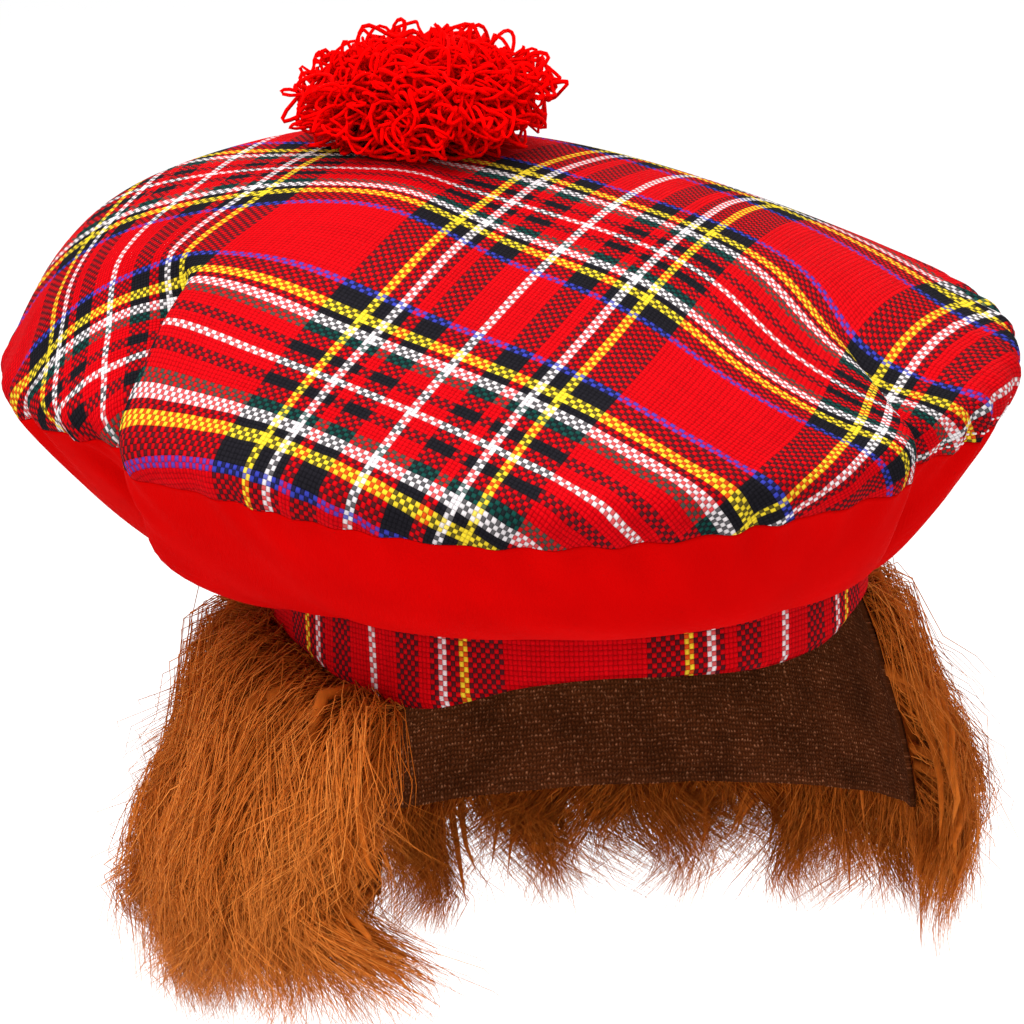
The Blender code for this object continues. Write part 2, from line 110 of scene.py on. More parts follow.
Spread = namedtuple("Spread", "azimuth_deg depth")
PILE_SPREAD = (
    Spread(60, 0.90),
    Spread(110, 1.05),
    Spread(180, 1.00),
    Spread(235, 1.55),
    Spread(300, 1.40),
)

# Soft creases of the underside. Depth is a share of the crease depth, width is in degrees.
Crease = namedtuple("Crease", "azimuth_deg depth width_deg")
CREASES = (
    Crease(-88, 1.00, 1.8),
    Crease(-80, -0.50, 4.0),
    Crease(-62, 0.35, 5.0),
    Crease(-30, 0.20, 7.0),
    Crease(12, 0.25, 6.0),
    Crease(38, 0.60, 2.6),
    Crease(47, -0.45, 4.0),
    Crease(58, 0.55, 3.0),
    Crease(84, 0.35, 5.0),
    Crease(121, 0.50, 4.0),
    Crease(150, -0.40, 6.0),
    Crease(173, 0.55, 4.0),
    Crease(205, 0.40, 5.0),
    Crease(229, 0.60, 3.5),
)

# Half of each sett, from its white middle to the middle of its broad red, in threads
Stripe = namedtuple("Stripe", "colour threads")
WARP_SETT = (
    Stripe("white", 1),
    Stripe("red", 6),
    Stripe("black", 6),
    Stripe("red", 3),
    Stripe("black", 2),
    Stripe("white", 2),
    Stripe("black", 3),
    Stripe("yellow", 2),
    Stripe("black", 8),
    Stripe("red", 15),
)
WEFT_SETT = (
    Stripe("white", 1),
    Stripe("red", 3),
    Stripe("black", 3),
    Stripe("red", 4),
    Stripe("green", 3),
    Stripe("white", 3),
    Stripe("black", 2),
    Stripe("yellow", 3),
    Stripe("black", 5),
    Stripe("blue", 2),
    Stripe("red", 12),
)

# A whole sett, and the place of its yellow line from its white middle, in threads
WARP_REPEAT = 2 * sum(stripe.threads for stripe in WARP_SETT)
WEFT_REPEAT = 2 * sum(stripe.threads for stripe in WEFT_SETT)
WARP_YELLOW = 24
WEFT_YELLOW = 20.5

# Where lines of the check cross: threads from the white middles of the setts, and the photograph's pixel
PICTURE_SIDE = 1024
Crossing = namedtuple("Crossing", "across down pixel_x pixel_y")
CROSSINGS = (
    Crossing(-WARP_YELLOW, -WEFT_YELLOW, 527, 172),
    Crossing(-WARP_YELLOW, WEFT_YELLOW, 458, 220),
    Crossing(-WARP_YELLOW, WEFT_REPEAT - WEFT_YELLOW, 361, 319),
    Crossing(-WARP_YELLOW, WEFT_REPEAT + WEFT_YELLOW, 261, 436),
    Crossing(0, -WEFT_YELLOW, 622, 201),
    Crossing(0, WEFT_YELLOW, 552, 258),
    Crossing(0, WEFT_REPEAT + WEFT_YELLOW, 359, 476),
    Crossing(WARP_YELLOW, -WEFT_REPEAT + WEFT_YELLOW, 775, 206),
    Crossing(WARP_YELLOW, -WEFT_YELLOW, 712, 233),
    Crossing(WARP_YELLOW, WEFT_YELLOW, 648, 297),
    Crossing(WARP_YELLOW, WEFT_REPEAT - WEFT_YELLOW, 557, 396),
    Crossing(WARP_YELLOW, WEFT_REPEAT + WEFT_YELLOW, 460, 536),
    Crossing(WARP_REPEAT - WARP_YELLOW, -WEFT_REPEAT + WEFT_YELLOW, 965, 304),
    Crossing(WARP_REPEAT - WARP_YELLOW, -WEFT_YELLOW, 873, 381),
    Crossing(WARP_REPEAT - WARP_YELLOW, WEFT_YELLOW, 853, 427),
    Crossing(WARP_REPEAT - WARP_YELLOW, WEFT_REPEAT - WEFT_YELLOW, 748, 522),
    Crossing(WARP_REPEAT, -WEFT_YELLOW, 934, 464),
    Crossing(-WARP_REPEAT + WARP_YELLOW, -WEFT_YELLOW, 335, 151),
    Crossing(-WARP_REPEAT + WARP_YELLOW, WEFT_YELLOW, 263, 191),
    Crossing(-WARP_REPEAT, WEFT_YELLOW, 165, 210),
    Crossing(-WARP_REPEAT, WEFT_REPEAT - WEFT_YELLOW, 106, 305),
    Crossing(-WARP_REPEAT, WEFT_REPEAT, 104, 368),
    Crossing(-WARP_REPEAT - WARP_YELLOW, WEFT_YELLOW, 90, 237),
    Crossing(-WARP_REPEAT - WARP_YELLOW, WEFT_REPEAT - WEFT_YELLOW, 48, 352),
)


def length(name, description, metres):
    """A property for a length."""
    return FloatProperty(name=name, description=description, default=metres, unit="LENGTH", precision=4)


def share_of(name, description, value):
    """A property for a plain share."""
    return FloatProperty(name=name, description=description, default=value, precision=3)


def turn(name, description, degrees):
    """A property for an angle."""
    radians = math.radians(degrees)
    return FloatProperty(name=name, description=description, default=radians, subtype="ANGLE")


def dye(name, description, rgb):
    """A property for a colour."""
    return FloatVectorProperty(
        name=name, description=description, default=rgb, subtype="COLOR", size=3, min=0.0, max=1.0
    )


class TamShape(bpy.types.PropertyGroup):
    """Sizes of the sewn hat."""

    head_width: length("Head width", "Width of the head opening", 0.165)
    head_length: length("Head length", "Length of the head opening, front to back", 0.193)
    band_wall: length("Band wall", "Thickness of the headband", 0.0025)
    band_height: length("Band height", "Height of the headband's upper edge", 0.027)
    band_sag: length("Band sag", "How far the headband's edge hangs", 0.012)
    crown_radius: length("Crown radius", "From the crown's middle to its rim", 0.148)
    crown_wall: length("Crown wall", "Thickness of the tartan", 0.0018)
    crown_x: length("Crown slump sideways", "Crown's middle from the head's, towards +X", -0.010)
    crown_y: length("Crown slump back", "Crown's middle from the head's, towards +Y", 0.013)
    peak_x: share_of("Peak sideways", "Peak from the crown's middle, as a share of its radius", 0.034)
    peak_y: share_of("Peak back", "Peak from the crown's middle, as a share of its radius", 0.446)
    peak_height: length("Peak height", "Height of the crown's peak", 0.124)
    seam_height: length("Seam height", "Mean height of the rim's seam", 0.064)
    roll_height: length("Roll height", "Height of the rim's roll over the seam", 0.016)
    roll_bulge: length("Roll bulge", "How far the roll stands out", 0.005)
    seam_tuck: length("Seam tuck", "How far the seam is drawn in", 0.003)
    shoulder_ease: share_of("Shoulder ease", "How far the top runs on before the roll", 1.6)
    seam_ease: share_of("Seam ease", "How far the underside runs on below the seam", 1.4)
    under_wall: length("Underside wall", "Thickness of the red cloth", 0.0018)
    under_joint: length("Underside joint", "Height where the underside meets the band", 0.016)
    under_slack: length("Underside slack", "How far the underside bellies out", 0.030)
    fold_depth: length("Fold depth", "Depth of the deepest fold", 0.017)
    fold_width: length("Fold width", "Width of a fold's side", 0.014)
    fold_sharpness: share_of("Fold sharpness", "Low makes a fold's bottom a sharp crease", 1.35)
    crease_depth: length("Crease depth", "Depth of the underside's deepest crease", 0.0060)
    pucker: length("Pucker", "Height of the puckers where cloth is eased into the seam", 0.0007)
    stitch: length("Stitch", "Length of a seam stitch that shows", 0.0014)
    stitch_pitch: length("Stitch pitch", "From one seam stitch to the next", 0.0026)
    stitch_width: length("Stitch width", "Thickness of the seam's thread", 0.0006)
    slack_wave: length("Slack wave", "Height of the cloth's broad soft waves", 0.0012)
    gap: length("Seam gap", "Gap between sewn edges", 0.0003)
    round_gap: length("Round gap", "Gap between round walls", 0.0007)


class TamTartan(bpy.types.PropertyGroup):
    """Threads and dyes of the cloth."""

    warp_pitch: length("Warp pitch", "From one warp end to the next", 0.001304)
    weft_pitch: length("Weft pitch", "From one weft pick to the next", 0.001527)
    pull_reach: length("Pull reach", "How far a pull on the check spreads", 0.055)
    red: dye("Red", "Red thread", (0.54, 0.0012, 0.004))
    black: dye("Black", "Black thread", (0.010, 0.009, 0.012))
    white: dye("White", "White thread", (0.73, 0.67, 0.68))
    yellow: dye("Yellow", "Yellow thread", (0.79, 0.58, 0.028))
    green: dye("Green", "Green thread", (0.006, 0.055, 0.045))
    blue: dye("Blue", "Blue thread", (0.035, 0.045, 0.36))
    plain_red: dye("Plain red", "Red of the underside", (0.49, 0.0005, 0.0005))


class TamFur(bpy.types.PropertyGroup):
    """Sizes and colours of the fur and its ground."""

    wall: length("Ground wall", "Thickness of the knitted ground", 0.0015)
    tuck: length("Ground tuck", "How far the ground reaches up inside the band", 0.008)
    end: turn("Panel end", "Azimuth of the panel's front ends", 62)
    drop_back: length("Drop at the back", "How far the ground hangs at the back", 0.088)
    drop_front: length("Drop at the front", "How far the ground hangs at its front ends", 0.063)
    flare: length("Flare", "How far the ground stands out at its edge", 0.015)
    flare_ease: share_of("Flare ease", "How early the ground flares", 1.6)
    depth: length("Pile depth", "How far the pile stands out", 0.016)
    strand: length("Strand length", "Length of a strand", 0.068)
    strand_width: length("Strand width", "Width of a strand at its root", 0.00046)
    frizz: length("Frizz", "How far a strand waves by itself", 0.0024)
    lock_width: length("Lock width", "Width of a lock where it is thickest", 0.0042)
    fringe: length("Fringe", "How far the strands hang below the ground's edge", 0.031)
    puff: share_of("Puff", "How far the top strands stand up, as a share of the panel", 0.12)
    strands: IntProperty(name="Strands", description="Strands in each part of the fur", default=5600)
    locks: IntProperty(name="Locks", description="Thick locks under the strands", default=560)
    end_lean: share_of("End lean", "How far the ends lean forward, as a share of the panel", 0.045)
    lean_power: share_of("Lean power", "How close to its ends the panel leans", 7.0)
    # The fur's ramp, dark to light: its dark end is painted shade for roots and deep strands, its light end
    # painted light on outer ones
    light: dye("Light fur", "Fur in the light", (0.78, 0.26, 0.048))
    middle: dye("Middle fur", "Most of the fur", (0.48, 0.112, 0.010))
    dark: dye("Dark fur", "Fur at its roots", (0.20, 0.038, 0.003))
    ground: dye("Ground", "Knitted ground", (0.095, 0.024, 0.007))
    fleck: dye("Fleck", "Light flecks of the ground", (0.42, 0.16, 0.075))


class TamPompom(bpy.types.PropertyGroup):
    """Yarn of the pompom."""

    loops: IntProperty(name="Loops", description="Loops of yarn", default=560)
    yarn: length("Yarn", "Thickness of the yarn", 0.00125)
    crinkle: length("Crinkle", "How far the yarn strays from its loop", 0.0024)
    seat: length("Seat", "How far the pompom sinks over the peak", 0.0055)
    light: dye("Light yarn", "Yarn in the light", (0.93, 0.0, 0.0))
    dark: dye("Dark yarn", "Yarn deep in the pompom", (0.34, 0.0, 0.0))


class TamStage(bpy.types.PropertyGroup):
    """Camera, floor and light."""

    azimuth: turn("Azimuth", "Camera's way round from the front", -24)
    elevation: turn("Elevation", "Camera's angle above the hat", 14)
    roll: turn("Roll", "Camera's tilt", -2.2)
    distance: length("Distance", "From the camera to the hat", 2.6)
    view_width: length("View width", "Width that the picture takes in", 0.299)
    aim_height: length("Aim height", "Height of the point that the framing is set by", 0.020)
    aim_x: share_of("Aim across", "Pixel column of that point", 565.0)
    aim_y: share_of("Aim down", "Pixel row of that point", 535.6)
    floor: length("Floor", "How far the floor lies below the opening", 0.33)
    pale: dye("Pale floor", "Floor", (0.93, 0.93, 0.93))


GROUPS = (
    ("tam_shape", TamShape),
    ("tam_tartan", TamTartan),
    ("tam_fur", TamFur),
    ("tam_pompom", TamPompom),
    ("tam_stage", TamStage),
)


# Small helpers

def smooth_step(value):
    """0 below 0, 1 above 1, with level ends."""
    clipped = np.clip(value, 0.0, 1.0)
    return clipped * clipped * (3.0 - 2.0 * clipped)


def unit(vectors):
    """The vectors at length 1."""
    return vectors / np.maximum(np.linalg.norm(vectors, axis=-1, keepdims=True), 1e-12)


def around(azimuth_deg, rows, column):
    """A column of a table, read smoothly at any azimuth round the hat."""
    knots = np.array([row.azimuth_deg for row in rows], float)
    values = np.tile([getattr(row, column) for row in rows], 3)
    knots = np.concatenate([knots - 360, knots, knots + 360])
    slopes = np.gradient(values, knots)
    first = rows[0].azimuth_deg
    wrapped = (np.asarray(azimuth_deg, float) - first) % 360 + first
    low = np.searchsorted(knots, wrapped, side="right") - 1
    span = knots[low + 1] - knots[low]
    t = (wrapped - knots[low]) / span
    rise = t * t * (3 - 2 * t)
    lead = t * (1 - t) ** 2 * span * slopes[low]
    trail = t * t * (t - 1) * span * slopes[low + 1]
    return values[low] * (1 - rise) + values[low + 1] * rise + lead + trail


def read_table(rows, key, column, place):
    """A column of a table that doesn't close round the hat, read in straight lines."""
    return np.interp(place, [getattr(row, key) for row in rows], [getattr(row, column) for row in rows])


def bezier(p0, p1, p2, p3, t):
    """Points of a cubic curve at the parameters t, for arrays of control points."""
    t = np.asarray(t, float)[None, :, None]
    p0, p1, p2, p3 = (p[:, None, :] for p in (p0, p1, p2, p3))
    return (1 - t) ** 3 * p0 + 3 * t * (1 - t) ** 2 * p1 + 3 * t * t * (1 - t) * p2 + t**3 * p3


def compass(azimuth_deg):
    """Unit vectors in the plan, one for each azimuth."""
    angle = np.radians(azimuth_deg)
    return np.stack([np.sin(angle), -np.cos(angle), np.zeros_like(angle)], axis=-1)


def waves(rng, place, count, shortest, longest):
    """A smooth random wave along a place, of height about 1."""
    total = np.zeros_like(place)
    for _ in range(count):
        step = rng.uniform(shortest, longest)
        total += np.sin(2 * np.pi * place / step + rng.uniform(0, 2 * np.pi))
    return total / math.sqrt(count)


def ring_waves(rng, azimuths, count, fewest, most):
    """A sum of sine waves that close round the hat, each with a whole number of turns."""
    total = np.zeros(len(azimuths))
    for _ in range(count):
        turns = rng.integers(fewest, most)
        total += np.sin(2 * np.pi * (azimuths / 360.0 * turns + rng.uniform()))
    return total


def head_oval(azimuth_deg, offset, height):
    """Points on an oval round the head, offset outwards from the headband's inner face."""
    shape = bpy.context.scene.tam_shape
    angle = np.radians(azimuth_deg)
    half_x, half_y = shape.head_width / 2, shape.head_length / 2
    point = np.stack([half_x * np.sin(angle), -half_y * np.cos(angle)], axis=-1)
    normal = unit(np.stack([np.sin(angle) / half_x, -np.cos(angle) / half_y], axis=-1))
    flat = point + normal * np.asarray(offset)[..., None]
    level = np.broadcast_to(np.asarray(height, float), angle.shape)
    return np.concatenate([flat, level[..., None]], axis=-1)


def band_edge(azimuth_deg):
    """Height of the headband's lower edge."""
    return -bpy.context.scene.tam_shape.band_sag * around(azimuth_deg, BAND_EDGE, "drop")


# Meshes from grids and from paths

def new_piece(name, mesh, material, node=None):
    """A piece in the scene that rides on the hat, and stands for a solid where it names its node."""
    piece = bpy.data.objects.new(name, mesh)
    bpy.context.scene.collection.objects.link(piece)
    mesh.materials.append(material)
    mesh.shade_smooth()
    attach(piece, "root")
    if node:
        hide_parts(node)
    return piece


def grid_faces(columns, rows, closed_round, first=0, inward=False):
    """Faces of a grid of vertices that are numbered column by column."""
    faces = []
    for i in range(columns if closed_round else columns - 1):
        j = (i + 1) % columns
        for k in range(rows - 1):
            a, b = first + i * rows + k, first + j * rows + k
            face = (a, a + 1, b + 1, b)
            faces.append(face[::-1] if inward else face)
    return faces


def wall_mesh(name, outer, inner, closed_round, tip=None):
    """A closed wall between two grids of points, with the faces turned outwards."""
    columns, rows = outer.shape[:2]
    count = columns * rows
    points = np.concatenate([outer.reshape(-1, 3), inner.reshape(-1, 3)])
    faces = grid_faces(columns, rows, closed_round)
    faces += grid_faces(columns, rows, closed_round, count, inward=True)
    for i in range(columns if closed_round else columns - 1):
        a, b = i * rows, (i + 1) % columns * rows
        faces.append((a + rows - 1, count + a + rows - 1, count + b + rows - 1, b + rows - 1))
        if tip is None:
            faces.append((a, b, count + b, count + a))
    if tip is not None:
        points = np.concatenate([points, np.array(tip)])
        for i in range(columns):
            a, b = i * rows, (i + 1) % columns * rows
            faces.append((2 * count, a, b))
            faces.append((2 * count + 1, count + b, count + a))
    if not closed_round:
        last = (columns - 1) * rows
        for k in range(rows - 1):
            faces.append((k, count + k, count + k + 1, k + 1))
            faces.append((last + k, last + k + 1, count + last + k + 1, count + last + k))
    mesh = bpy.data.meshes.new(name)
    mesh.from_pydata(points.tolist(), [], faces)
    mesh.update()
    return mesh


def tube_mesh(name, paths, radii, side, sides, tone):
    """Closed tapering tubes along many paths, with a tone at each of their points."""
    count, parts = paths.shape[:2]
    along = unit(np.gradient(paths, axis=1))
    right = unit(np.cross(along, side[:, None, :]))
    deep = np.cross(right, along)
    angle = 2 * np.pi * np.arange(sides) / sides
    wheel = right[:, :-1, None] * np.cos(angle)[:, None] + deep[:, :-1, None] * np.sin(angle)[:, None]
    rings = paths[:, :-1, None] + radii[:, :-1, None, None] * wheel
    points = np.concatenate([rings.reshape(count, -1, 3), paths[:, -1:]], axis=1)
    each = points.shape[1]
    ring, spoke = np.meshgrid(np.arange(parts - 2), np.arange(sides), indexing="ij")
    a = (ring * sides + spoke).ravel()
    b = (ring * sides + (spoke + 1) % sides).ravel()
    quads = np.stack([a, b, b + sides, a + sides], axis=1)
    ends = (parts - 2) * sides + np.arange(sides)
    nexts = (parts - 2) * sides + (np.arange(sides) + 1) % sides
    tips = np.stack([ends, nexts, np.full(sides, each - 1)], axis=1)
    root = np.arange(sides)[::-1]
    start = (np.arange(count) * each)[:, None, None]
    faces = (quads + start).reshape(-1, 4).tolist()
    faces += (tips + start).reshape(-1, 3).tolist()
    faces += (root + start[:, 0]).tolist()
    mesh = bpy.data.meshes.new(name)
    mesh.from_pydata(points.reshape(-1, 3).tolist(), [], faces)
    mesh.update()
    values = np.concatenate([np.repeat(tone[:, :-1], sides, axis=1), tone[:, -1:]], axis=1)
    mesh.attributes.new("tone", "FLOAT", "POINT").data.foreach_set("value", values.ravel())
    return mesh


def set_cloth(mesh, across, down):
    """Writes cloth coordinates, in metres, into the mesh's UV map."""
    layer = mesh.uv_layers.new(name="cloth")
    corner = np.zeros(len(mesh.loops), np.int32)
    mesh.loops.foreach_get("vertex_index", corner)
    flat = np.stack([np.ravel(across), np.ravel(down)], axis=1)[corner]
    layer.data.foreach_set("uv", flat.astype(np.float32).ravel())


# Materials

class Recipe:
    """A material whose nodes are added one by one."""

    def __init__(self, name, roughness, specular):
        self.material = bpy.data.materials.new(name)
        self.material.use_nodes = True
        self.tree = self.material.node_tree
        self.shader = self.tree.nodes["Principled BSDF"]
        self.shader.inputs["Roughness"].default_value = roughness
        self.shader.inputs["Specular IOR Level"].default_value = specular

    def node(self, kind, inputs=None, **settings):
        """A node with its settings, and with numbers or links on its inputs."""
        made = self.tree.nodes.new(kind)
        for key, value in settings.items():
            setattr(made, key, value)
        for key, value in (inputs or {}).items():
            self.feed(made.inputs[key], value)
        return made

    def feed(self, socket, value):
        """Links an output to a socket, or sets a number or colour on it."""
        if isinstance(value, bpy.types.NodeSocket):
            self.tree.links.new(value, socket)
        else:
            socket.default_value = value

    def sum(self, operation, *values):
        """The output of a sum on numbers and outputs."""
        inputs = dict(enumerate(values))
        return self.node("ShaderNodeMath", inputs, operation=operation).outputs[0]

    def blend(self, share, first, second):
        """A number between two numbers."""
        blender = self.node("ShaderNodeMix", {0: share, 2: first, 3: second}, data_type="FLOAT")
        return blender.outputs[0]

    def ripple(self, place, pitch):
        """A sine wave along a place, from -1 to 1."""
        return self.sum("SINE", self.sum("MULTIPLY", place, 2 * math.pi / pitch))

    def mix(self, share, first, second):
        """A colour between two colours."""
        mixer = self.node("ShaderNodeMix", data_type="RGBA")
        self.feed(mixer.inputs["Factor"], share)
        self.feed(mixer.inputs[6], first)
        self.feed(mixer.inputs[7], second)
        return mixer.outputs[2]

    def scale_colour(self, colour, share):
        """A colour made lighter or darker."""
        if not isinstance(colour, bpy.types.NodeSocket):
            colour = colour[:3]
        scaled = self.node("ShaderNodeVectorMath", {0: colour, "Scale": share}, operation="SCALE")
        return scaled.outputs[0]

    def noise(self, vector, scale, detail=2.0):
        """Noise of a size, from 0 to 1."""
        inputs = {"Vector": vector, "Scale": scale, "Detail": detail}
        return self.node("ShaderNodeTexNoise", inputs).outputs["Fac"]

    def ranged(self, value, low, high, to_low, to_high):
        """A value moved from one range to another, and held to it."""
        inputs = {"Value": value, 1: low, 2: high, 3: to_low, 4: to_high}
        return self.node("ShaderNodeMapRange", inputs).outputs[0]

    def colour(self, value):
        """Sets the base colour."""
        self.feed(self.shader.inputs["Base Color"], value)

    def bump(self, height, distance, strength=1.0):
        """Raises the surface by a height."""
        inputs = {"Height": height, "Distance": distance, "Strength": strength}
        made = self.node("ShaderNodeBump", inputs)
        self.tree.links.new(made.outputs[0], self.shader.inputs["Normal"])

    def cloth_place(self):
        """Cloth coordinates of the surface: the vector, across and down."""
        vector = self.node("ShaderNodeUVMap", uv_map="cloth").outputs[0]
        parts = self.node("ShaderNodeSeparateXYZ", {0: vector})
        return vector, parts.outputs[0], parts.outputs[1]

    def object_place(self):
        """The surface's place on the hat, in metres."""
        return self.node("ShaderNodeTexCoord").outputs["Object"]


def opaque(rgb):
    """A colour with its alpha."""
    return (*rgb, 1.0)


def sett_colour(recipe, thread, sett):
    """The dye of a thread in a sett, by the thread's number from the sett's middle."""
    tartan = bpy.context.scene.tam_tartan
    half = sum(stripe.threads for stripe in sett)
    place = recipe.sum("DIVIDE", recipe.sum("PINGPONG", recipe.sum("ADD", thread, 0.5), half), half)
    ramp = recipe.node("ShaderNodeValToRGB", {0: place})
    ramp.color_ramp.interpolation = "CONSTANT"
    at = 0
    for index, stripe in enumerate(sett):
        stops = ramp.color_ramp.elements
        stop = stops[index] if index < 1 else stops.new(at / half)
        stop.position = at / half
        stop.color = opaque(getattr(tartan, stripe.colour))
        at += stripe.threads
    stops = ramp.color_ramp.elements
    stops.remove(stops[len(stops) - 1])
    return ramp.outputs[0]


# The tartan's weave: how far threads stray, how round they are, and how much of the one below shows
THREAD_STRAY = 0.00028
THREAD_ROUND = 3.4
THREAD_BEND = 1.8
BELOW_SHOW = 0.11
WEAVE_DEPTH = 0.00042
FUZZ = 0.25


def thread_height(recipe, across, along):
    """Height of a thread, from the squares of the places across it and along it."""
    rounded = recipe.sum("MULTIPLY_ADD", across, -THREAD_ROUND, 1.0)
    return recipe.sum("MULTIPLY", rounded, recipe.sum("MULTIPLY_ADD", along, -THREAD_BEND, 1.0))


def tartan_cloth(name):
    """Coarse plain-woven tartan: warp and weft take turns on top, thread by thread, with painted shade where
    they sink.
    """
    tartan = bpy.context.scene.tam_tartan
    recipe = Recipe(name, 0.9, 0.02)
    vector, across, down = recipe.cloth_place()
    wander = recipe.sum("SUBTRACT", recipe.noise(vector, 260.0, 1.0), 0.5)
    sides = []
    for place, pitch, sett in (
        (across, tartan.warp_pitch, WARP_SETT),
        (down, tartan.weft_pitch, WEFT_SETT),
    ):
        strayed = recipe.sum("MULTIPLY_ADD", wander, THREAD_STRAY, place)
        threads = recipe.sum("DIVIDE", strayed, pitch)
        number = recipe.sum("FLOOR", threads)
        within = recipe.sum("SUBTRACT", recipe.sum("SUBTRACT", threads, number), 0.5)
        chance = recipe.node("ShaderNodeTexWhiteNoise", {"W": number}, noise_dimensions="1D")
        uneven = recipe.ranged(chance.outputs["Value"], 0, 1, 0.86, 1.08)
        sides.append((number, within, recipe.scale_colour(sett_colour(recipe, number, sett), uneven)))
    (end, end_place, warp_dye), (pick, pick_place, weft_dye) = sides
    weft_up = recipe.sum("FLOORED_MODULO", recipe.sum("ADD", end, pick), 2.0)
    thread_dye = recipe.mix(recipe.ranged(weft_up, 0, 1, BELOW_SHOW, 1 - BELOW_SHOW), warp_dye, weft_dye)

    end_square = recipe.sum("POWER", recipe.sum("ABSOLUTE", end_place), 2.0)
    pick_square = recipe.sum("POWER", recipe.sum("ABSOLUTE", pick_place), 2.0)
    warp_high = thread_height(recipe, end_square, pick_square)
    weft_high = thread_height(recipe, pick_square, end_square)
    high = recipe.blend(weft_up, warp_high, weft_high)

    fibre = recipe.noise(vector, 2600.0, 2.0)
    # Broad soft blotches, lighter and darker at random
    blotch = recipe.noise(vector, 34.0, 3.0)
    # Painted shade: the colour darkens where a thread's height falls, to 0.42 of its dye in the weave's
    # hollows
    hollow_shade = recipe.ranged(high, 0.0, 0.75, 0.42, 1.0)
    shade = recipe.sum("MULTIPLY", hollow_shade, recipe.ranged(fibre, 0.3, 0.7, 0.86, 1.1))
    shade = recipe.sum("MULTIPLY", shade, recipe.ranged(blotch, 0.3, 0.7, 0.93, 1.05))
    recipe.colour(recipe.scale_colour(thread_dye, shade))
    recipe.bump(recipe.sum("MULTIPLY_ADD", fibre, FUZZ, high), WEAVE_DEPTH, 0.75)
    return recipe.material


# The red cloth's fine weave
RED_END_PITCH = 0.00055
RED_PICK_PITCH = 0.00062
RED_WEAVE_DEPTH = 0.00006


def red_cloth():
    """Smooth plain-woven red cloth, with faint painted shade in its weave."""
    tartan = bpy.context.scene.tam_tartan
    recipe = Recipe("red_weave", 0.9, 0.01)
    vector, across, down = recipe.cloth_place()
    weave = recipe.sum("MULTIPLY", recipe.ripple(across, RED_END_PITCH), recipe.ripple(down, RED_PICK_PITCH))
    cloud = recipe.noise(vector, 45.0, 3.0)
    shade = recipe.ranged(cloud, 0.3, 0.7, 0.93, 1.04)
    # Painted shade of the fine weave: the colour follows the weave's height, from 0.95 to 1.02
    shade = recipe.sum("MULTIPLY", shade, recipe.ranged(weave, -1, 1, 0.95, 1.02))
    recipe.colour(recipe.scale_colour(opaque(tartan.plain_red), shade))
    fuzz = recipe.noise(vector, 900.0)
    recipe.bump(recipe.sum("MULTIPLY_ADD", fuzz, 0.8, weave), RED_WEAVE_DEPTH, 0.5)
    return recipe.material


# The ground's knit: its ribs and rows of loops, how far they slant and how far they stray
RIB_PITCH = 0.0022
COURSE_PITCH = 0.0015
LOOP_SLANT = 0.0007
RIB_STRAY = 0.0022
COURSE_STRAY = 0.0024
KNIT_DEPTH = 0.0005


def knitted_ground():
    """Brown knit with light flecks, in ribs of small loops, with painted shade between the loops."""
    fur = bpy.context.scene.tam_fur
    recipe = Recipe("knit_ground", 0.95, 0.01)
    vector, across, down = recipe.cloth_place()
    across = recipe.sum("MULTIPLY_ADD", recipe.noise(vector, 210.0, 2.0), RIB_STRAY, across)
    down = recipe.sum("MULTIPLY_ADD", recipe.noise(vector, 170.0, 2.0), COURSE_STRAY, down)
    rib = recipe.ripple(across, RIB_PITCH)
    slant = recipe.sum("MULTIPLY_ADD", recipe.sum("ABSOLUTE", rib), LOOP_SLANT, down)
    course = recipe.ripple(slant, COURSE_PITCH)
    loops = recipe.sum("MULTIPLY", recipe.sum("ABSOLUTE", rib), recipe.ranged(course, -1, 1, 0.2, 1.0))
    fleck = recipe.ranged(recipe.noise(vector, 620.0, 3.0), 0.52, 0.66, 0.0, 0.75)
    cloud = recipe.ranged(recipe.noise(vector, 60.0, 3.0), 0.3, 0.7, 0.65, 1.2)
    fuzz = recipe.noise(vector, 1500.0, 2.0)
    base = recipe.mix(recipe.sum("MULTIPLY", fleck, loops), opaque(fur.ground), opaque(fur.fleck))
    # Painted shade: the knit is darker between its loops, down to half its colour, and a little lighter on
    # them
    shade = recipe.sum("MULTIPLY", cloud, recipe.ranged(loops, 0, 1, 0.5, 1.15))
    recipe.colour(recipe.scale_colour(base, shade))
    recipe.bump(recipe.sum("MULTIPLY_ADD", fuzz, 0.6, loops), KNIT_DEPTH, 0.8)
    return recipe.material


def toned(name, colours, roughness, specular, noise_scale, bump):
    """Fibres whose colour runs from dark to light with the tone written on them."""
    recipe = Recipe(name, roughness, specular)
    tone = recipe.node("ShaderNodeAttribute", attribute_name="tone").outputs["Fac"]
    ramp = recipe.node("ShaderNodeValToRGB", {0: tone})
    stops = ramp.color_ramp.elements
    while len(stops) < len(colours):
        stops.new(0.5)
    for index, rgb in enumerate(colours):
        stops[index].position = index / (len(colours) - 1)
        stops[index].color = opaque(rgb)
    grain = recipe.noise(recipe.object_place(), noise_scale, 3.0)
    recipe.colour(recipe.scale_colour(ramp.outputs[0], recipe.ranged(grain, 0.3, 0.7, 0.82, 1.14)))
    recipe.bump(grain, bump, 0.6)
    return recipe.material


# The sewn hat, and the coarser rows and columns that its crown is laid flat from

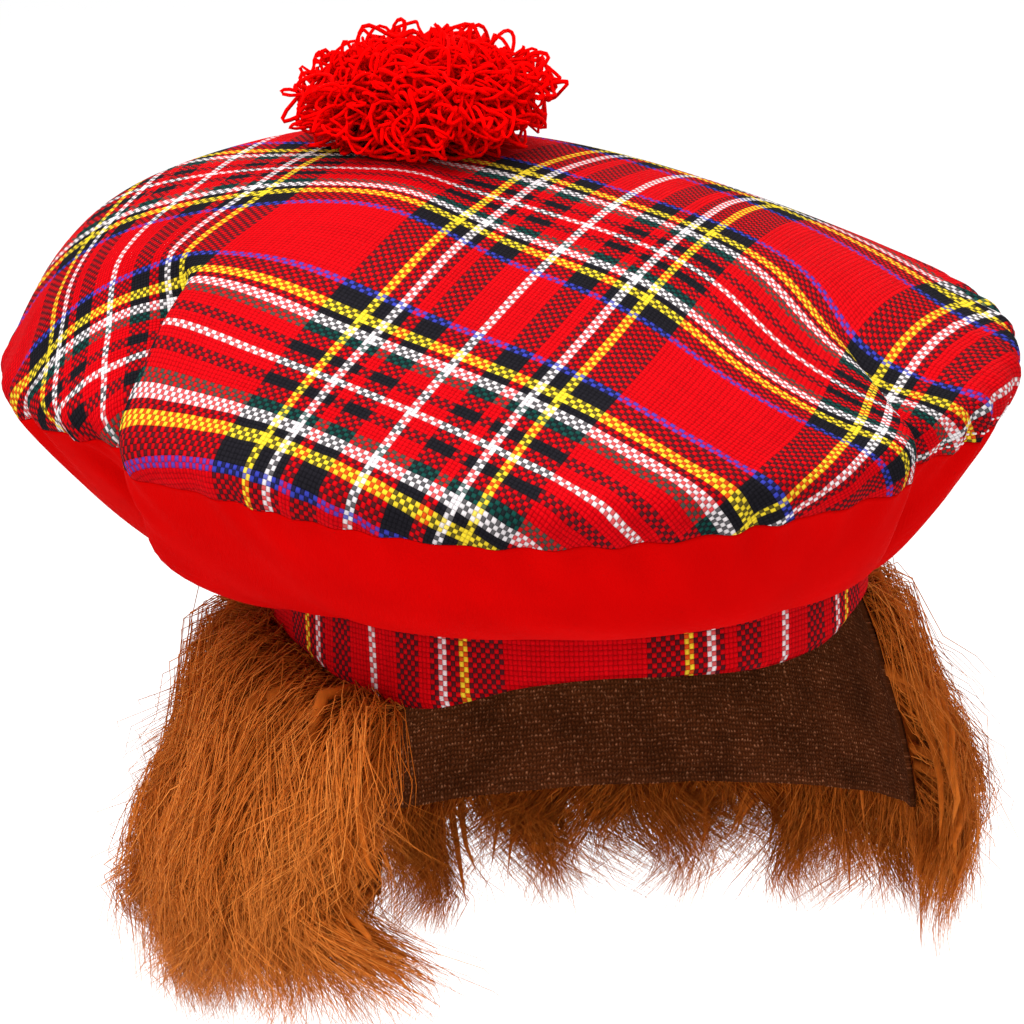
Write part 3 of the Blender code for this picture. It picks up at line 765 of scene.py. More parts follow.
TOP_ROWS = np.linspace(0.02, 1.0, 46)
ROLL_ROWS = np.linspace(0.0, 1.0, 9)[1:]
UNDER_ROWS = np.linspace(0.0, 1.0, 26)[1:]
SEAM_ROW = len(TOP_ROWS) + len(ROLL_ROWS) - 1
COLUMN_STEP = 0.9
FLAT_TOP_ROWS = np.linspace(0.04, 1.0, 26)
FLAT_ROLL_ROWS = np.array([0.33, 0.66, 1.0])
FLAT_STEP = 1.5

# Folds press mostly down near the peak, and straight in at the rim
PRESS_TILT_DEG = 20.0


def crown_middle():
    """The middle of the crown, on the level of the opening."""
    shape = bpy.context.scene.tam_shape
    return np.array([shape.crown_x, shape.crown_y, 0.0])


def crown_peak():
    """The highest point of the crown."""
    shape = bpy.context.scene.tam_shape
    across = shape.crown_radius * shape.peak_x
    back = shape.crown_radius * shape.peak_y
    return crown_middle() + np.array([across, back, shape.peak_height])


def hat_profile(azimuths, top_rows, roll_rows, under_rows):
    """Rows of points from near the peak over the rim to the headband, before the folds."""
    shape = bpy.context.scene.tam_shape
    out = compass(azimuths)
    peak = crown_peak()
    reach = shape.crown_radius * around(azimuths, CROWN_SECTIONS, "reach")[:, None]
    seam_height = shape.seam_height * around(azimuths, CROWN_SECTIONS, "seam")
    fullness = around(azimuths, CROWN_SECTIONS, "fullness")[:, None]

    seam = crown_middle() + out * (reach - shape.seam_tuck) + UP * seam_height[:, None]
    level = (seam_height + shape.roll_height)[:, None]
    shoulder = crown_middle() + out * (reach - shape.roll_bulge) + UP * level
    share = top_rows[None, :]
    top = peak + (shoulder - peak)[:, None, :] * share[..., None]
    rise = (peak[2] - shoulder[:, 2])[:, None]
    top[..., 2] = shoulder[:, 2][:, None] + rise * (1 - share**fullness)

    slope = shoulder - peak
    slope[:, 2] *= fullness[:, 0]
    lean = out * shape.roll_bulge + UP * (shape.roll_height / 2)
    leave = shoulder + unit(slope) * shape.roll_bulge * shape.shoulder_ease
    roll = bezier(shoulder, leave, seam + lean, seam, roll_rows)

    inset = shape.band_wall + shape.round_gap
    slack = shape.under_slack * around(azimuths, CROWN_SECTIONS, "slack")
    joint = head_oval(azimuths, np.full(len(azimuths), inset), shape.under_joint)
    outward = head_oval(azimuths, inset + slack, shape.under_joint)
    under = bezier(seam, seam - lean * shape.seam_ease, outward, joint, under_rows)
    return np.concatenate([top, roll, under], axis=1)


def normals_of(grid):
    """Outward unit normals of a grid of points that closes round the hat."""
    along = np.gradient(grid, axis=1)
    wrapped = np.concatenate([grid[-1:], grid, grid[:1]], axis=0)
    return unit(np.cross(along, (wrapped[2:] - wrapped[:-2]) / 2))


def folded(grid, azimuths, top_rows, roll_rows, under_rows):
    """The grid with the folds pressed in: downwards on the top, and inwards at the rim."""
    shape = bpy.context.scene.tam_shape
    fade = np.concatenate([np.ones(len(top_rows) + len(roll_rows)), 1 - smooth_step(under_rows)])
    tilt_share = np.concatenate([top_rows**1.5, np.ones(len(roll_rows) + len(under_rows))])
    tilt = np.radians(PRESS_TILT_DEG + (90 - PRESS_TILT_DEG) * tilt_share)[None, :, None]
    press = -(compass(azimuths)[:, None, :] * np.sin(tilt) + UP * np.cos(tilt))
    moved = grid.copy()
    for fold in FOLDS:
        start = crown_middle() + compass(fold.start_deg) * shape.crown_radius * fold.start_reach
        end = crown_middle() + compass(fold.end_deg) * shape.crown_radius
        run = (end - start)[:2]
        reach = np.linalg.norm(run)
        run = run / reach
        side = np.array([-run[1], run[0]])
        offset = grid[..., :2] - start[:2]
        along = offset @ run / reach
        across = offset @ side
        width = shape.fold_width * np.where(across > 0, fold.left, fold.right)
        valley = np.exp(-(np.abs(across / width) ** shape.fold_sharpness))
        depth = shape.fold_depth * fold.depth * smooth_step(along * fold.onset) * fade[None, :]
        moved += press * (depth * valley)[..., None]
        lip = across / shape.fold_width - math.copysign(1.0, fold.overhang)
        lean = -fold.overhang * depth * np.exp(-(lip**2))
        moved[..., :2] += side * lean[..., None]
    return moved


def eased(grid, azimuths, top_rows, roll_rows, under_rows):
    """The grid with the cloth's slack: broad waves on top, puckers at the seam, creases below."""
    shape = bpy.context.scene.tam_shape
    normals = normals_of(grid)
    rng = np.random.default_rng(21)
    slow = ring_waves(rng, azimuths, 5, 2, 7)
    quick = ring_waves(rng, azimuths, 8, 34, 78)
    top_share = np.concatenate([top_rows, np.ones(len(roll_rows) + len(under_rows))])
    under_share = np.concatenate([np.zeros(len(top_rows) + len(roll_rows)), under_rows])
    roll_share = np.concatenate([np.zeros(len(top_rows)), roll_rows, np.ones(len(under_rows))])
    broad = np.sin(np.pi * top_share**1.4)[None, :] * slow[:, None] * shape.slack_wave / 2
    near_seam = smooth_step((top_share - 0.86) / 0.14) * (1 - smooth_step(under_share / 0.45))
    pinch = near_seam * (0.35 + 0.65 * roll_share)
    pucker = pinch[None, :] * quick[:, None] * shape.pucker / 2
    belly = np.sin(np.pi * np.clip(under_share, 0, 1)) ** 0.7
    crease = np.zeros(len(azimuths))
    for row in CREASES:
        away = (azimuths - row.azimuth_deg + 180) % 360 - 180
        crease -= row.depth * shape.crease_depth * np.exp(-((away / row.width_deg) ** 2))
    return grid + normals * (broad + pucker + belly[None, :] * crease[:, None])[..., None]


def hat_grid(azimuths, top_rows, roll_rows, under_rows):
    """The outer face of the hat from near the peak to the headband."""
    rows = (azimuths, top_rows, roll_rows, under_rows)
    return eased(folded(hat_profile(*rows), *rows), *rows)


def fine_hat():
    """Azimuths of the hat's columns, and the points and outward normals of its outer face."""
    azimuths = np.arange(-180.0, 180.0, COLUMN_STEP)
    grid = hat_grid(azimuths, TOP_ROWS, ROLL_ROWS, UNDER_ROWS)
    return azimuths, grid, normals_of(grid)


def photo_ray(pixel_x, pixel_y):
    """The camera's place and the way that it looks through a pixel of the photograph."""
    stage = bpy.context.scene.tam_stage
    turned = camera_turn()
    eye = Vector((0, 0, stage.aim_height)) + turned @ Vector((0, 0, stage.distance))
    pixel = stage.view_width / PICTURE_SIDE
    across = (pixel_x - stage.aim_x) * pixel
    down = (pixel_y - stage.aim_y) * pixel
    return eye, (turned @ Vector((across, -down, -stage.distance))).normalized()


def camera_turn():
    """The camera's rotation."""
    stage = bpy.context.scene.tam_stage
    level = math.cos(stage.elevation)
    across, along = math.sin(stage.azimuth) * level, -math.cos(stage.azimuth) * level
    back = Vector((across, along, math.sin(stage.elevation)))
    return back.to_track_quat("Z", "Y").to_matrix() @ Matrix.Rotation(stage.roll, 3, "Z")


def flattened(grid):
    """The crown's grid laid flat: plan coordinates in metres that keep its lengths, and its tree."""
    columns, rows = grid.shape[:2]
    made = bmesh.new()
    points = [[made.verts.new(point) for point in column] for column in grid]
    peak = made.verts.new(crown_peak())
    for i in range(columns):
        j = (i + 1) % columns
        made.faces.new((peak, points[i][0], points[j][0]))
        for k in range(rows - 1):
            made.faces.new((points[i][k], points[i][k + 1], points[j][k + 1], points[j][k]))
    mesh = bpy.data.meshes.new("flat_crown")
    made.to_mesh(mesh)
    tree = BVHTree.FromBMesh(made)
    made.free()
    mesh.uv_layers.new(name="flat")
    flat_crown = bpy.data.objects.new("flat_crown", mesh)
    bpy.context.scene.collection.objects.link(flat_crown)
    for other in bpy.context.selected_objects:
        other.select_set(False)
    bpy.context.view_layer.objects.active = flat_crown
    flat_crown.select_set(True)
    bpy.ops.object.mode_set(mode="EDIT")
    bpy.ops.mesh.select_all(action="SELECT")
    bpy.ops.uv.unwrap(method="MINIMUM_STRETCH", iterations=20, margin=0)
    bpy.ops.object.mode_set(mode="OBJECT")
    corner = np.zeros(len(mesh.loops), np.int32)
    mesh.loops.foreach_get("vertex_index", corner)
    laid = np.zeros(len(mesh.loops) * 2, np.float32)
    mesh.uv_layers["flat"].data.foreach_get("uv", laid)
    flat = np.zeros((len(mesh.vertices), 2))
    flat[corner] = laid.reshape(-1, 2)
    ends = np.array([edge.vertices[:] for edge in mesh.edges])
    place = np.array([vert.co for vert in mesh.vertices])
    real = np.linalg.norm(place[ends[:, 0]] - place[ends[:, 1]], axis=1).sum()
    drawn = np.linalg.norm(flat[ends[:, 0]] - flat[ends[:, 1]], axis=1).sum()
    flat *= real / drawn
    faces = [list(polygon.vertices) for polygon in mesh.polygons]
    bpy.data.objects.remove(flat_crown)
    bpy.data.meshes.remove(mesh)
    return flat, place, faces, tree


# How far the pull gives way at a crossing, and how many crossings may miss the crown
PULL_SLACK = 0.02
SPARE_CROSSINGS = 4


def hung_check(grid):
    """Cloth coordinates of the crown's grid, with the check hung on the photograph's crossings."""
    tartan = bpy.context.scene.tam_tartan
    flat, place, faces, tree = flattened(grid)
    laid, wanted = [], []
    for crossing in CROSSINGS:
        spot, _, face, _ = tree.ray_cast(*photo_ray(crossing.pixel_x, crossing.pixel_y))
        if spot is None:
            continue
        corners = faces[face]
        near = 1 / (np.linalg.norm(place[corners] - np.array(spot), axis=1) + 1e-5)
        laid.append((flat[corners] * near[:, None]).sum(0) / near.sum())
        wanted.append((crossing.across * tartan.warp_pitch, crossing.down * tartan.weft_pitch))
    laid, wanted = np.array(laid), np.array(wanted)
    if len(laid) < len(CROSSINGS) - SPARE_CROSSINGS:
        raise RuntimeError(f"only {len(laid)} crossings of the check lie on the crown")
    left, _, right = np.linalg.svd((laid - laid.mean(0)).T @ (wanted - wanted.mean(0)))
    spin = left @ right
    fitted = (laid - laid.mean(0)) @ spin + wanted.mean(0)
    away = np.linalg.norm(fitted[:, None] - fitted[None, :], axis=-1)
    pull = np.exp(-((away / tartan.pull_reach) ** 2))
    weight = np.linalg.solve(pull + PULL_SLACK * np.eye(len(pull)), wanted - fitted)
    cloth = (flat - laid.mean(0)) @ spin + wanted.mean(0)
    reach = np.linalg.norm(cloth[:, None] - fitted[None, :], axis=-1)
    return cloth + np.exp(-((reach / tartan.pull_reach) ** 2)) @ weight


def between(values, from_columns, from_rows, to_columns, to_rows):
    """Values of a grid that closes round the hat, read at other columns and rows."""
    values = np.concatenate([values, values[:1]], axis=0)
    from_columns = np.append(from_columns, from_columns[0] + 360)
    read = np.stack([np.interp(to_rows, from_rows, column) for column in values])
    wrapped = (to_columns - from_columns[0]) % 360 + from_columns[0]
    return np.stack([np.interp(wrapped, from_columns, row) for row in read.T], axis=1)


def crown_cloth(azimuths):
    """Cloth coordinates at the crown's fine rows and columns, and at its peak."""
    columns = np.arange(-180.0, 180.0, FLAT_STEP)
    no_rows = np.zeros(0)
    grid = hat_grid(columns, FLAT_TOP_ROWS, FLAT_ROLL_ROWS, no_rows)
    cloth = hung_check(grid)
    rows = np.concatenate([FLAT_TOP_ROWS, 1 + FLAT_ROLL_ROWS])
    fine_rows = np.concatenate([TOP_ROWS, 1 + ROLL_ROWS])
    laid = cloth[:-1].reshape(len(columns), len(rows), 2)
    peak = cloth[-1]
    rows = np.append(0.0, rows)
    with_peak = np.concatenate([np.broadcast_to(peak, (len(columns), 1, 2)), laid], axis=1)
    across, down = (between(with_peak[..., k], columns, rows, azimuths, fine_rows) for k in range(2))
    return across, down, peak


class TAM_OT_crown(bpy.types.Operator):
    """Makes the slouched tartan crown"""

    bl_idname = "tam.crown"
    bl_label = "Crown"

    def execute(self, context):
        shape = context.scene.tam_shape
        azimuths, whole, normals = fine_hat()
        outer = whole[:, : SEAM_ROW + 1].copy()
        outer[:, -1] += unit(outer[:, -2] - outer[:, -1]) * shape.gap / 2
        inner = outer - normals[:, : SEAM_ROW + 1] * shape.crown_wall
        peak = crown_peak()
        mesh = wall_mesh("crown_tartan", outer, inner, True, (peak, peak - UP * shape.crown_wall))
        across, down, tip = crown_cloth(azimuths)
        across = np.concatenate([np.tile(across.ravel(), 2), [tip[0]] * 2])
        down = np.concatenate([np.tile(down.ravel(), 2), [tip[1]] * 2])
        set_cloth(mesh, across, down)
        piece = new_piece("crown_tartan", mesh, tartan_cloth("crown_weave"), "crown")
        return {"FINISHED"}


class TAM_OT_underside(bpy.types.Operator):
    """Makes the plain red ring under the rim"""

    bl_idname = "tam.underside"
    bl_label = "Underside"

    def execute(self, context):
        shape = context.scene.tam_shape
        azimuths, whole, normals = fine_hat()
        normals[:, -1] = -UP
        outer = whole[:, SEAM_ROW:].copy()
        outer[:, 0] += unit(outer[:, 1] - outer[:, 0]) * shape.gap / 2
        inner = outer - normals[:, SEAM_ROW:] * shape.under_wall
        mesh = wall_mesh("underside_cloth", outer, inner, True)
        step = np.linalg.norm(np.diff(outer, axis=1), axis=-1)
        down = np.concatenate([np.zeros((len(outer), 1)), np.cumsum(step, axis=1)], axis=1)
        across = np.radians(azimuths)[:, None] * shape.crown_radius * np.ones_like(down)
        set_cloth(mesh, np.tile(across.ravel(), 2), np.tile(down.ravel(), 2))
        piece = new_piece("underside_cloth", mesh, red_cloth(), "underside")
        return {"FINISHED"}


# The part of the rim where the seam's stitches show
STITCHES_FROM_DEG = 35.0
STITCHES_TO_DEG = 57.0


class TAM_OT_stitches(bpy.types.Operator):
    """Makes the row of white stitches that shows along the rim's seam"""

    bl_idname = "tam.stitches"
    bl_label = "Seam stitches"

    def execute(self, context):
        shape = context.scene.tam_shape
        azimuths, whole, normals = fine_hat()
        line, out = whole[:, SEAM_ROW - 1], normals[:, SEAM_ROW - 1]
        span_deg = STITCHES_TO_DEG - STITCHES_FROM_DEG
        count = int(math.radians(span_deg) * shape.crown_radius / shape.stitch_pitch)
        first = STITCHES_FROM_DEG + np.arange(count) * span_deg / count
        part = np.linspace(0, 1, 5)
        way = first[:, None] + part * math.degrees(shape.stitch / shape.crown_radius)
        path = np.stack([np.interp(way, azimuths, line[:, k]) for k in range(3)], axis=-1)
        raised = np.stack([np.interp(way, azimuths, out[:, k]) for k in range(3)], axis=-1)
        radius = shape.stitch_width / 2
        path += raised * radius * np.sin(np.pi * part)[None, :, None]
        sideways = np.tile(UP, (count, 1))
        radii = np.full(way.shape, radius)
        mesh = tube_mesh("seam_stitches", path, radii, sideways, 5, np.ones(way.shape))
        recipe = Recipe("seam_thread", 0.8, 0.05)
        recipe.colour(opaque(context.scene.tam_tartan.white))
        new_piece("seam_stitches", mesh, recipe.material)
        return {"FINISHED"}


# The headband's columns and rows, its rounded edge and ripples, and two white lines of its check
BAND_COLUMN_STEP = 1.5
BAND_ROWS = np.linspace(0.0, 1.0, 13)
BAND_ROUNDED_FROM = 0.93
BAND_ROUNDED_OVER = 0.07
BAND_RIPPLE = 0.00022
BAND_WHITE_DEG = -67.6
BAND_NEXT_WHITE_DEG = 17.0


class TAM_OT_headband(bpy.types.Operator):
    """Makes the tartan headband"""

    bl_idname = "tam.headband"
    bl_label = "Headband"

    def execute(self, context):
        shape, tartan = context.scene.tam_shape, context.scene.tam_tartan
        azimuths = np.arange(-180.0, 180.0, BAND_COLUMN_STEP)
        low = band_edge(azimuths)
        share = BAND_ROWS[None, :]
        height = shape.band_height + (low - shape.band_height)[:, None] * share
        into_edge = np.clip((share - BAND_ROUNDED_FROM) / BAND_ROUNDED_OVER, 0, 1)
        rounded = np.sqrt(1 - into_edge**2)
        ripple = ring_waves(np.random.default_rng(4), azimuths, 6, 5, 19)
        bend = BAND_RIPPLE * ripple[:, None] * smooth_step((share - 0.35) / 0.65)
        wide = azimuths[:, None] + np.zeros_like(height)
        outer = head_oval(wide, shape.band_wall * (0.5 + 0.5 * rounded) + bend, height)
        inner = head_oval(wide, shape.band_wall * (0.5 - 0.5 * rounded) + bend, height)
        mesh = wall_mesh("headband_tartan", outer, inner, True)
        ring = head_oval(azimuths, np.full(len(azimuths), shape.band_wall), 0.0)
        step = np.linalg.norm(np.diff(ring, axis=0), axis=1)
        run = np.concatenate([[0.0], np.cumsum(step)])
        first = np.interp(BAND_WHITE_DEG, azimuths, run)
        repeat = WARP_REPEAT * tartan.warp_pitch
        stretch = repeat / (np.interp(BAND_NEXT_WHITE_DEG, azimuths, run) - first)
        across = ((run - first) * stretch)[:, None] * np.ones_like(height)
        down = WEFT_REPEAT / 2 * tartan.weft_pitch - height
        set_cloth(mesh, np.tile(across.ravel(), 2), np.tile(down.ravel(), 2))
        weave = tartan_cloth("band_weave")
        piece = new_piece("headband_tartan", mesh, weave, "headband")
        return {"FINISHED"}


# The fur panel: the ground's length, its waves, and how its ends' lesser depth lengthens its flat size

GROUND_LENGTH = 0.385
GROUND_SWAY = 0.0005
GROUND_ROUGH = 0.00022


def panel_azimuth(share):
    """Azimuth on the head's oval, from one front end of the fur panel round the back to the other."""
    end = math.degrees(bpy.context.scene.tam_fur.end)
    return end + np.asarray(share, float) * (360 - 2 * end)


def panel_foot(share):
    """Height of the ground's lower edge, lowest at the back of the head."""
    fur = bpy.context.scene.tam_fur
    backness = np.sin(np.pi * np.clip(share, 0.0, 1.0))
    return -(fur.drop_front + (fur.drop_back - fur.drop_front) * backness)


def panel_point(share, depth, offset):
    """A point of the fur panel: share round it, depth from its top edge at 0 to its lower edge
    at 1, and offset outwards from the ground's inner face."""
    shape, fur = bpy.context.scene.tam_shape, bpy.context.scene.tam_fur
    azimuth = panel_azimuth(share)
    foot = panel_foot(share)
    height = fur.tuck + (foot - fur.tuck) * np.asarray(depth, float)
    clear = band_edge(azimuth) - shape.band_wall
    below = np.clip((clear - height) / (clear - foot), 0.0, 1.0)
    flare = fur.flare * (1 - (1 - below) ** fur.flare_ease)
    return head_oval(azimuth, -(shape.gap + fur.wall) + flare + offset, height)


def panel_start(share):
    """Depth at which the panel comes clear below the headband's edge."""
    shape, fur = bpy.context.scene.tam_shape, bpy.context.scene.tam_fur
    clear = band_edge(panel_azimuth(share)) - shape.round_gap
    return (fur.tuck - clear) / (fur.tuck - panel_foot(share))


def pile_offset(share, depth, column):
    """A column of the pile's profile at a place on the panel, outwards of the ground's inner face."""
    shape, fur = bpy.context.scene.tam_shape, bpy.context.scene.tam_fur
    stand = fur.depth * read_table(PILE_SPREAD, "azimuth_deg", "depth", panel_azimuth(share))
    return fur.wall + shape.gap + stand * read_table(PILE_PROFILE, "depth", column, depth)


class TAM_OT_backing(bpy.types.Operator):
    """Makes the knitted ground of the fur"""

    bl_idname = "tam.backing"
    bl_label = "Fur ground"

    def execute(self, context):
        fur = context.scene.tam_fur
        columns, rows = 190, 34
        share, depth = np.meshgrid(np.linspace(0, 1, columns), np.linspace(0, 1, rows), indexing="ij")
        rng = np.random.default_rng(8)
        sway = waves(rng, share[:, :1], 5, 0.05, 0.16) * GROUND_SWAY * smooth_step((depth - 0.35) / 0.65)
        rough = waves(rng, share, 6, 0.008, 0.02) * GROUND_ROUGH * smooth_step((depth - 0.3) / 0.2)
        outer = panel_point(share, depth, fur.wall + sway)
        inner = panel_point(share, depth, sway + rough)
        mesh = wall_mesh("hair_ground", outer, inner, False)
        across = share * GROUND_LENGTH
        deepest = fur.tuck + fur.drop_back
        down = depth * deepest
        set_cloth(mesh, np.tile(across.ravel(), 2), np.tile(down.ravel(), 2))
        piece = new_piece("hair_ground", mesh, knitted_ground(), "hair_backing")
        return {"FINISHED"}


# Two sizes of clump: how many there are, how hard they draw strands in, and how far they stray
Clump = namedtuple("Clump", "columns rows pull power sway lift wave jag")
CLUMPS = (
    Clump(26, 4, 0.38, 1.1, 0.042, 0.26, 0.0100, 0.36),
    Clump(95, 9, 0.46, 1.0, 0.026, 0.16, 0.0042, 0.14),
)

# How strands are spaced along, how far they wander and stand out, and where they start and end
PART_SPACING = 1.35
OWN_WANDER = 0.012
STRAY_WANDER = 0.06
STRAY_STAND = 0.008
STRAY_SPREAD = 0.012
OWN_WAVE = 0.0014
SKIN_CROSSED = 0.6
LOWEST_END = 1.5
GROUND_ROOM = 0.0006
PANEL_LENGTH = 0.40

# Tracts of the fur, by shares of the panel, with the share rooted low and the hang over the fringe
Tract = namedtuple("Tract", "name low high crowd low_rooted fringe")
TRACTS = (
    Tract("hair_right", 0.00, 0.27, 0.85, 0.40, 1.15),
    Tract("hair_back", 0.25, 0.62, 1.22, 0.70, 1.40),
    Tract("hair_left", 0.60, 0.82, 0.80, 0.30, 1.10),
    Tract("hair_left_front", 0.80, 1.00, 1.12, 0.20, 1.00),
)


def hanging_paths(rng, shares, roots, lengths, layers, parts, stray, loose):
    """Paths of strands that grow on the panel and hang in clumps."""
    fur = bpy.context.scene.tam_fur
    t = np.linspace(0.0, 1.0, parts)[None, :] ** PART_SPACING
    share = shares[:, None] + np.zeros_like(t)
    start = panel_start(shares)
    root = start + (1 - start) * roots
    panel_depth = fur.tuck - panel_foot(shares)
    reach = lengths / panel_depth
    depth = root[:, None] + reach[:, None] * t
    puff = fur.puff * rng.uniform(0.2, 1.7, (len(shares), 1)) * (1 - roots[:, None]) ** 2.5
    depth -= puff * np.sin(np.pi * np.clip(t * 2.2, 0, 1))
    lift = layers[:, None] + np.zeros_like(t)
    lowest = 1 + LOWEST_END * fur.fringe / panel_depth
    drift, ruffle = np.zeros_like(depth), np.zeros_like(depth)
    held = (1 - stray)[:, None]
    for level, clump in enumerate(CLUMPS):
        cells = np.random.default_rng(300 + level)
        table = cells.uniform(-1, 1, (clump.columns + 1, clump.rows + 1, 6))
        column = np.clip((shares * clump.columns).astype(int), 0, clump.columns)
        row = np.clip((roots * clump.rows).astype(int), 0, clump.rows)
        cell = table[column, row]
        middle = (column + 0.5 + 0.4 * cell[:, 0]) / clump.columns
        pull = clump.pull * t**clump.power * held
        share += (middle[:, None] - shares[:, None]) * pull
        share += clump.sway * loose * cell[:, 1:2] * t**1.3
        lift += clump.lift * cell[:, 2:3] * t
        depth += clump.jag * cell[:, 3:4] * t * reach[:, None]
        bend = np.sin(2 * np.pi * (1.1 + 0.4 * cell[:, 4:5]) * t + np.pi * cell[:, 5:6])
        drift += clump.wave * loose * bend * t
        curl = np.cos(2 * np.pi * (0.9 + 0.4 * cell[:, 5:6]) * t)
        ruffle += clump.wave * loose * curl * t * cell[:, 4:5]
    own = rng.uniform(-1, 1, (len(shares), 4))
    share += (OWN_WANDER + STRAY_WANDER * stray[:, None]) * own[:, :1] * t**1.3
    share += fur.end_lean * (2 * shares[:, None] - 1) ** fur.lean_power * t**1.2
    frizz = np.sin(2 * np.pi * (1.25 + 0.6 * own[:, 1:2]) * t + np.pi * own[:, 2:3])
    drift += fur.frizz * loose * frizz * t**0.7
    share += drift / PANEL_LENGTH
    rise = smooth_step(t * rng.uniform(2.2, 6.0, (len(shares), 1)))
    skin = pile_offset(share, depth, "skin") * SKIN_CROSSED * (end_taper(shares) * thin_top(roots))[:, None]
    lock = pile_offset(share, np.maximum(depth, 0.45), "lock") * lift
    offset = skin * (1 - rise) + lock * rise
    offset += stray[:, None] * (STRAY_SPREAD * own[:, 3:4] + STRAY_STAND) * t**1.6
    offset += OWN_WAVE * np.sin(2 * np.pi * (1.2 + 0.7 * own[:, 1:2]) * t + np.pi * own[:, 0:1]) * t
    offset += ruffle
    over = np.minimum(1.0, (lowest - root) / np.maximum(depth[:, -1] - root, 1e-6))
    depth = root[:, None] + (depth - root[:, None]) * over[:, None]
    return panel_point(share, depth, np.maximum(offset, fur.wall + GROUND_ROOM))


# How far in from its front ends and down from its top edge the pile gets thick
END_TAPER = 0.025
TOP_TAPER = 0.4
TOP_THICKNESS = 0.12


def end_taper(shares):
    """0 at the panel's front ends and 1 away from them."""
    return smooth_step(np.minimum(shares, 1 - shares) / END_TAPER)


def thin_top(part):
    """Near 0 at the panel's top edge and 1 from some way below it."""
    return TOP_THICKNESS + (1 - TOP_THICKNESS) * smooth_step(part / TOP_TAPER)


def hung_length(shares, roots, lengths, fringe):
    """Lengths that end no lower than a fringe below the ground's edge."""
    fur = bpy.context.scene.tam_fur
    ground = (1 - roots) * (1 - panel_start(shares)) * (fur.tuck - panel_foot(shares))
    return np.minimum(lengths, ground + fringe)


def panel_side(shares):
    """The way along the panel at each share."""
    return np.cross(compass(panel_azimuth(shares)), UP)


# The undercoat's skin as a share of the pile's, its dark tone as painted shade inside the pile, and the
# parts of a lock and of a strand
SKIN_THICK = 0.70
SKIN_SHADE_TONE = 0.22
LOCK_PARTS = 8
STRAND_PARTS = 6


